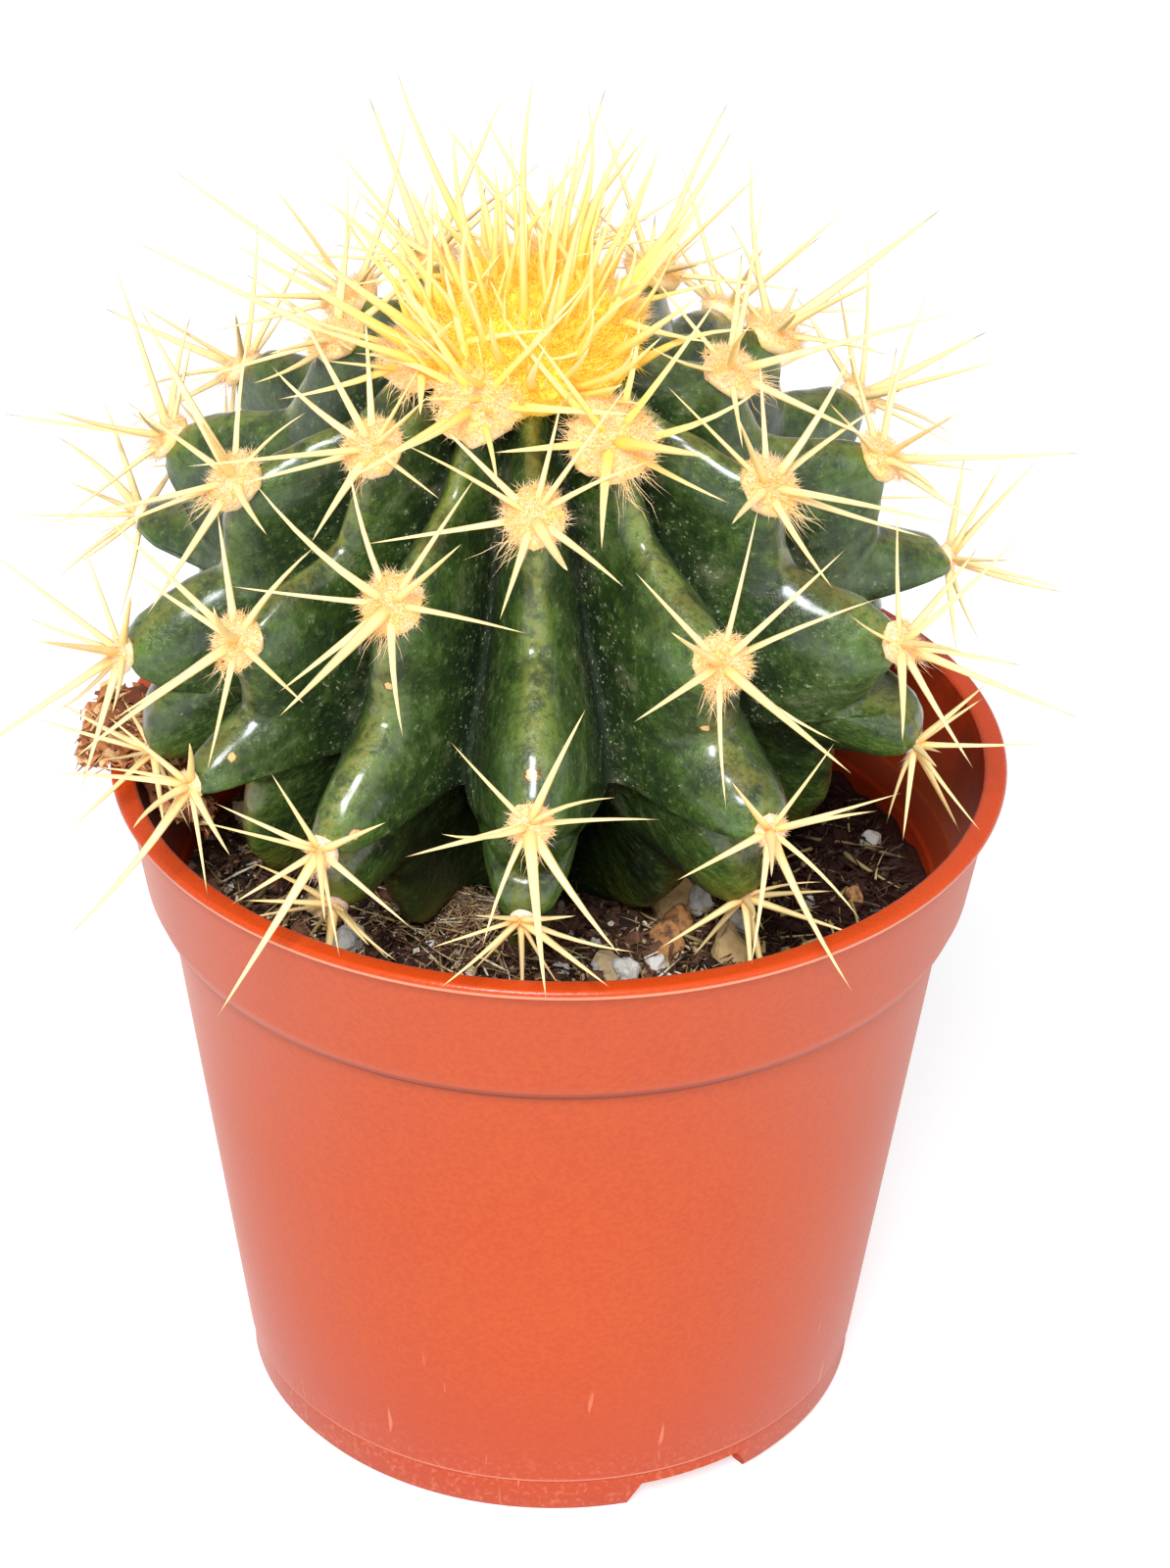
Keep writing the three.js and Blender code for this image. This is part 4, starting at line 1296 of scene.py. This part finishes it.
LIP_TOP = (POT_HEIGHT - 0.25) * MM
# Painted shade on the soil at the right, tinted red as a painted reflection of the pot: its colour
# and the span across which it comes in
SHADED_SOIL = (0.032, 0.007, 0.004)
SHADED_SOIL_SIDE = (12 * MM, 27 * MM)


def band(height, level, start, end, soft):
    """1 from start to end, counted in mm up from a level of the pot, and 0 elsewhere."""
    rise = height.step((level + start - soft) * MM, (level + start) * MM)
    fall = height.step((level + end) * MM, (level + end + soft) * MM)
    return rise * (1 - fall)


def pot_plastic():
    sheet = Sheet("pot_plastic")
    height = sheet.height()
    inside = sheet.number("inside")
    grain = sheet.noise(1900, 2)
    streaks = sheet.noise(1, 2, place=sheet.stretched((900, 900, 70)))
    # Patches of painted light and shade for the inner wall
    light_and_shade_patches = sheet.noise(240, 3).step(0.4, 0.65)
    lip = height.step(LIP_TOP - 0.1 * MM, LIP_TOP)
    # Painted highlight: a pale band under the lip's outer edge
    edge = band(height, POT_HEIGHT, -0.95, -0.55, soft=0.1) * (1 - inside)
    foot_line = band(height, FOOT_LINE, -0.15, 0.1, soft=0.15)
    crease_shade = band(height, BODY_TOP, -0.6, 0.8, soft=0.3)
    scuffs = streaks.step(0.68, 0.74) * (1 - height.step(10 * MM, 26 * MM)) * 0.35
    dust = grain.step(0.5, 0.75) * (1 - height.step(1 * MM, 10 * MM)) * 0.25
    worn = scuffs.larger(dust).larger(0.5 * foot_line).larger(0.65 * edge)
    # The inner wall in painted shade, with painted light low down
    shaded = sheet.layered(
        sheet.mix(light_and_shade_patches, (0.28, 0.014, 0.003), (0.15, 0.007, 0.002)),
        ((1 - height.step(55 * MM, 63 * MM)) * 0.6, (0.55, 0.05, 0.008)))
    colour = sheet.layered(
        sheet.mix(sheet.noise(60, 2), (0.45, 0.044, 0.002), (0.49, 0.056, 0.004)),
        (grain.step(0.3, 0.7) * 0.4, (0.59, 0.095, 0.009)),
        # Painted shade: darker towards the bottom
        ((1 - height.step(0.0, 26 * MM)) * 0.5, (0.44, 0.032, 0.002)),
        # Painted shade on the inner wall, less of it towards the rim
        (inside * (0.95 - 0.25 * height.step(64 * MM, 68 * MM)), shaded),
        (lip * 0.8, (0.62, 0.055, 0.004)),
        # Real scuffs and dust, a pale band along the foot line and the painted highlight under the
        # lip
        (worn, (0.88, 0.36, 0.22)),
        # Painted shade: a dark band under the collar's step
        (crease_shade * 0.6, (0.20, 0.018, 0.003)))
    normal = sheet.bump(grain, 0.16, 0.0002)
    outer = sheet.surface(
        Base_Color=colour, Roughness=0.38 + 0.2 * grain + 0.1 * worn - 0.2 * lip,
        Specular_IOR_Level=0.36, Sheen_Weight=0.13, Sheen_Roughness=0.4,
        Sheen_Tint=(1.0, 0.82, 0.75), Normal=normal)
    inner = sheet.surface(Base_Color=colour, Roughness=0.8, Specular_IOR_Level=0.1,
                          Normal=normal)
    return sheet.closed(sheet.node("ShaderNodeMixShader", None, inside * (1 - lip), outer, inner))


def cactus_skin(scars):
    """Dark green with lighter crests and noses and painted shade in the grooves; mottled, flecked
    and glossy, with dry scars.
    """
    sheet = Sheet("cactus_skin")
    across = sheet.number("across")
    nose = sheet.number("nose")
    age = sheet.number("age")
    above = sheet.number("above")
    broad = sheet.noise(150, 3, roughness=0.65)
    mottle = sheet.noise(420, 3, roughness=0.65)
    fine = sheet.noise(1300, 3, roughness=0.7)
    crest = (1 - across.step(0.0, 0.45)) * broad.step(0.3, 0.7)
    ridge = (1 - across.step(0.02, 0.26)) * mottle.step(0.3, 0.6)
    tip = nose.step(0.6, 1.0) * (1 - across.step(0.1, 0.7))
    groove = across.step(0.6, 0.97)
    corky = (1 - across.step(0.02, 0.2)) * fine.step(0.42, 0.58) * broad.step(0.45, 0.6)
    dusty = across.step(0.25, 0.8) * broad.step(0.52, 0.62) * mottle.step(0.42, 0.6)
    flecks = fine.step(0.675, 0.71) * broad.step(0.42, 0.6)
    specks = sheet.noise(2600, 1).step(0.66, 0.7) * across.step(0.55, 0.85) * mottle.step(0.4, 0.55)
    crease_shade = across.step(0.93, 0.99) * mottle.step(0.3, 0.5)
    aged = age.step(0.86, 0.95) * nose.step(0.8, 1.0) * (1 - across.step(0.1, 0.5))
    ridge_colour = sheet.mix(broad.step(0.42, 0.58), (0.20, 0.16, 0.022), (0.17, 0.22, 0.04))
    colour = sheet.layered(
        sheet.mix(broad.step(0.3, 0.7), (0.013, 0.029, 0.005), (0.042, 0.085, 0.010)),
        (crest * (0.85 - 0.3 * age), (0.18, 0.25, 0.03)),
        (ridge * 0.6, ridge_colour),
        (tip * 0.35, (0.09, 0.21, 0.022)),
        # Painted shade in the grooves
        (groove * 0.75, (0.010, 0.018, 0.007)),
        (corky * (0.2 + 0.5 * age), (0.28, 0.20, 0.06)),
        ((1 - mottle.step(0.36, 0.5)) * 0.6, (0.011, 0.026, 0.008)),
        (mottle.step(0.53, 0.68) * 0.35, (0.11, 0.19, 0.04)),
        ((1 - fine.step(0.34, 0.48)) * 0.5, (0.013, 0.025, 0.010)),
        (fine.step(0.54, 0.7) * 0.4, (0.15, 0.22, 0.08)),
        (dusty * 0.35, (0.22, 0.20, 0.13)),
        (flecks * 0.6, (0.44, 0.48, 0.34)),
        (specks * 0.8, (0.55, 0.52, 0.42)),
        # Painted shade: a near-black line at the bottom of each groove
        (crease_shade * 0.6, (0.006, 0.008, 0.004)),
        (aged * 0.35, (0.42, 0.36, 0.03)))
    for place, radius in scars:
        away = sheet.node("ShaderNodeVectorMath", {"operation": "DISTANCE"}, sheet.place(),
                          place, out=1)
        ragged = away + (fine - 0.5) * (1.4 * radius)
        colour = sheet.layered(
            colour,
            (1 - ragged.step(0.8 * radius, 1.3 * radius), (0.10, 0.06, 0.02)),
            (1 - ragged.step(0.6 * radius, 0.85 * radius), (0.72, 0.48, 0.17)))
    down_the_rib = sheet.node("ShaderNodeCombineXYZ", None, 46 * age + 4 * broad, 1.2 * across)
    wrinkles = sheet.noise(1, 2, place=down_the_rib)
    return sheet.finish(
        Base_Color=colour, Specular_IOR_Level=0.32, Coat_Roughness=0.19,
        Roughness=0.44 - 0.16 * above + 0.2 * fine + 0.2 * dusty + 0.2 * groove + 0.2 * crease_shade,
        Coat_Weight=above * (1 - groove),
        Normal=sheet.bump(fine + mottle + broad + wrinkles, 0.45, 0.0005))


def spine_finish():
    """Pale yellow, amber at the root and in painted shade on the underside, with a brown tip and
    dull tones on old ones.
    """
    sheet = Sheet("spine")
    along = sheet.number("along")
    tint = sheet.number("tint")
    age = sheet.number("age")
    streak = sheet.noise(900, 1).step(0.35, 0.75)
    under = sheet.number("under").step(0.4, 0.95)
    # The amber on the underside is painted shade
    amber = 0.4 * (1 - along.step(0.0, 0.3)) + 0.25 * tint * streak + 0.6 * under
    colour = sheet.layered(
        sheet.mix(age, (0.96, 0.75, 0.37), (0.93, 0.71, 0.35)),
        (amber, sheet.mix(age, (0.93, 0.52, 0.09), (0.84, 0.39, 0.05))),
        (along.step(0.8, 1.0) * age * 0.4, (0.62, 0.30, 0.06)),
        (age.step(0.76, 0.84) * (0.3 + 0.5 * tint), (0.60, 0.42, 0.09)))
    # The glow is painted light that brightens the spines' shaded sides
    return sheet.finish(Base_Color=colour, Roughness=0.36 + 0.2 * streak,
                        Specular_IOR_Level=0.4, Emission_Color=colour, Emission_Strength=0.14)


def crown_spine_finish():
    sheet = Sheet("crown_spine")
    along = sheet.number("along")
    tint = sheet.number("tint")
    root = 1 - along.step(0.05, 0.75)
    colour = sheet.mix(root * (0.7 + 0.3 * tint), (0.97, 0.74, 0.32), (0.99, 0.60, 0.06))
    # The glow is painted light that brightens the crown
    return sheet.finish(Base_Color=colour, Roughness=0.4 + 0.15 * tint, Specular_IOR_Level=0.3,
                        Emission_Color=colour, Emission_Strength=0.14)


def wool_finish():
    """Golden in the middle of the crown, cream on young areoles, paler on old ones."""
    sheet = Sheet("wool")
    tint = sheet.number("tint")
    age = sheet.number("age")
    matted = sheet.noise(800, 2)
    patches = matted.step(0.3, 0.7)
    grown = age.step(0.45, 0.95)
    ends = sheet.mix(grown, (1.0, 0.78, 0.52), (1.0, 0.80, 0.70))
    cream = sheet.layered(
        sheet.mix(patches, (1.0, 0.64, 0.21), (1.0, 0.73, 0.44)),
        (grown, sheet.mix(patches, (0.99, 0.70, 0.47), (1.0, 0.79, 0.71))),
        (sheet.number("along").step(0.1, 0.9) * (0.4 + 0.4 * tint), ends))
    colour = sheet.layered(
        sheet.mix(matted, (1.0, 0.58, 0.03), (1.0, 0.74, 0.14)),
        (age.step(0.0, 0.05), cream),
        (age.step(0.88, 0.94) * matted.step(0.35, 0.5) * 0.8, (0.22, 0.05, 0.02)))
    # The glow is painted light that brightens the wool's shaded sides
    return sheet.finish(Base_Color=colour, Roughness=0.85 + 0.1 * matted,
                        Specular_IOR_Level=0.1, Emission_Color=colour, Emission_Strength=0.22,
                        Normal=sheet.bump(sheet.noise(1500, 2), 0.45, 0.0004))


def shade_on_right(sheet):
    """0 on the ground at the front and left, 1 on the ground at the right, which has painted shade.
    """
    across = sheet.node("ShaderNodeSeparateXYZ", None, sheet.place(), out=0)
    return across.step(*SHADED_SOIL_SIDE)


def soil_finish():
    sheet = Sheet("potting_soil")
    coarse = sheet.noise(230, 3, roughness=0.65)
    fine = sheet.noise(1300, 2)
    chip = sheet.chips(800)
    colour = sheet.layered(
        sheet.mix(coarse.step(0.35, 0.65), (0.018, 0.007, 0.004), (0.15, 0.068, 0.036)),
        (chip.step(0.6, 0.9) * 0.5, (0.34, 0.21, 0.13)),
        (chip.step(0.9, 0.94) * 0.8, (0.66, 0.55, 0.44)),
        (fine.step(0.5, 0.7) * 0.6, (0.03, 0.014, 0.010)),
        # Painted shade on the right, tinted red as a painted reflection of the pot
        (shade_on_right(sheet) * 0.95, SHADED_SOIL))
    return sheet.finish(Base_Color=colour, Roughness=0.82 + 0.15 * fine,
                        Specular_IOR_Level=0.2, Normal=sheet.bump(fine + coarse, 0.9, 0.0009))


def crumb_finish():
    """Dark peat, then tan and pale bits by each piece's tint."""
    sheet = Sheet("soil_crumb")
    tint = sheet.number("tint")
    fine = sheet.noise(1700, 2)
    colour = sheet.layered(
        sheet.mix(tint.step(0.0, 0.6), (0.018, 0.008, 0.006), (0.19, 0.085, 0.048)),
        (tint.step(0.66, 0.85), (0.66, 0.43, 0.20)),
        (tint.step(0.9, 0.95), (0.88, 0.78, 0.58)),
        (fine.step(0.45, 0.7) * 0.5, (0.05, 0.024, 0.015)),
        # Painted shade on the right, tinted red as a painted reflection of the pot
        (shade_on_right(sheet) * 0.92, SHADED_SOIL))
    return sheet.finish(Base_Color=colour, Roughness=0.75 + 0.2 * fine,
                        Specular_IOR_Level=0.35, Normal=sheet.bump(fine, 0.6, 0.0003))


def grit_finish():
    """Rusty, tan or pale stone, by each piece's tint."""
    sheet = Sheet("soil_grit")
    tint = sheet.number("tint")
    grain = sheet.noise(1200, 4)
    colour = sheet.layered(
        sheet.mix(grain.step(0.3, 0.6), (0.12, 0.045, 0.02), (0.46, 0.21, 0.07)),
        (tint.step(0.1, 0.3), sheet.mix(grain, (0.42, 0.27, 0.11), (0.78, 0.54, 0.25))),
        (tint.step(0.5, 0.62), sheet.mix(grain, (0.50, 0.46, 0.40), (0.85, 0.82, 0.76))))
    return sheet.finish(Base_Color=colour, Roughness=0.7 + 0.2 * grain,
                        Normal=sheet.bump(grain, 0.6, 0.0004))


def dry_spine_finish():
    sheet = Sheet("dry_spine")
    grain = sheet.noise(900, 3)
    colour = sheet.layered(
        sheet.mix(sheet.number("tint"), (0.16, 0.10, 0.035), (0.62, 0.48, 0.18)),
        (grain * 0.4, (0.25, 0.18, 0.08)))
    return sheet.finish(Base_Color=colour, Roughness=0.6 + 0.2 * grain)


def bark_finish():
    sheet = Sheet("dry_bark")
    tint = sheet.number("tint")
    grain = sheet.noise(1100, 3)
    colour = sheet.layered(
        sheet.mix(tint.step(0.05, 0.65), (0.20, 0.050, 0.018), (0.68, 0.27, 0.09)),
        (tint.step(0.7, 1.0), (0.90, 0.62, 0.30)),
        (grain.step(0.45, 0.7) * 0.4, (0.30, 0.09, 0.03)))
    return sheet.finish(Base_Color=colour, Roughness=0.7 + 0.2 * grain,
                        Normal=sheet.bump(grain, 0.5, 0.0003))


def floor_finish():
    sheet = Sheet("studio_floor")
    tone = sheet.noise(6, 3)
    return sheet.finish(Base_Color=sheet.mix(tone, (0.52, 0.52, 0.53), (0.55, 0.55, 0.555)),
                        Roughness=0.6 + 0.1 * tone, Emission_Color=(1.0, 1.0, 1.0),
                        Emission_Strength=FLOOR_GLOW)


# Studio, in metres

FLOOR_SIZE = 4
FLOOR_GLOW = 0.62
SKY = (0.94, 0.97, 1, 1)
SKY_STRENGTH = 0.45
LAMP_AIM = Vector((0, 0, 0.07))

# Each lamp's place, size, watts and colour
LAMPS = {
    "key": ((-0.30, -0.87, 1.18), (0.16, 0.18), 5, (1, 1, 1)),
    "soft_panel": ((-0.12, -1.0, 1.05), (0.44, 0.44), 18.5, (0.93, 0.965, 1)),
    "fill": ((1.0, -0.8, 0.7), (0.8, 0.8), 2.5, (1, 1, 1)),
}


def make_floor():
    form = bmesh.new()
    bmesh.ops.create_grid(form, x_segments=8, y_segments=8, size=FLOOR_SIZE)
    floor = bpy.data.objects.new("studio_floor", mesh_of("studio_floor", form))
    floor.data.materials.append(floor_finish())
    bpy.context.collection.objects.link(floor)


def area_light(name, place, size, watts, colour):
    lamp = bpy.data.lights.new(name, "AREA")
    lamp.shape = "RECTANGLE"
    lamp.size, lamp.size_y = size
    lamp.energy = watts
    lamp.color = colour
    light = bpy.data.objects.new(name, lamp)
    bpy.context.collection.objects.link(light)
    light.location = place
    aim = LAMP_AIM - Vector(place)
    light.rotation_euler = aim.to_track_quat("-Z", "Y").to_euler()


def make_light():
    for name, lamp in LAMPS.items():
        area_light(name, *lamp)
    world = bpy.data.worlds.new("studio")
    bpy.context.scene.world = world
    world.use_nodes = True
    background = world.node_tree.nodes["Background"]
    background.inputs["Color"].default_value = SKY
    background.inputs["Strength"].default_value = SKY_STRENGTH
    bpy.context.scene.view_settings.view_transform = "Standard"
    bpy.context.scene.view_settings.look = "None"


def make_object():
    pot_piece(pot_plastic())
    soil_piece(soil_finish())
    ground_crumbs(crumb_finish())
    ground_grit(grit_finish())
    fallen_spines(dry_spine_finish())
    bark = bark_finish()
    bark_piece(bark)
    mulch_piece(bark)
    body_piece()
    spine_piece("areole_spines", AREOLE_NODES, spine_finish(), SPINE_STRAND, seed=3,
                radius=SPINE_RADIUS, bow=SPINE_BOW)
    grown = [a for a in AREOLES if a["node"] != "crown"]
    wool = wool_finish()
    areole_wool("upper_wool", [a for a in grown if a["age"] < LOWER_WOOL], wool, seed=200)
    areole_wool("lower_wool", [a for a in grown if a["age"] >= LOWER_WOOL], wool, seed=300)
    spine_piece("crown_spines", ["crown"], crown_spine_finish(), CROWN_STRAND, seed=4,
                radius=CROWN_SPINE_RADIUS, bow=CROWN_SPINE_BOW, extra=young_spines())
    crown_wool(wool)


make_object()
make_floor()
make_light()
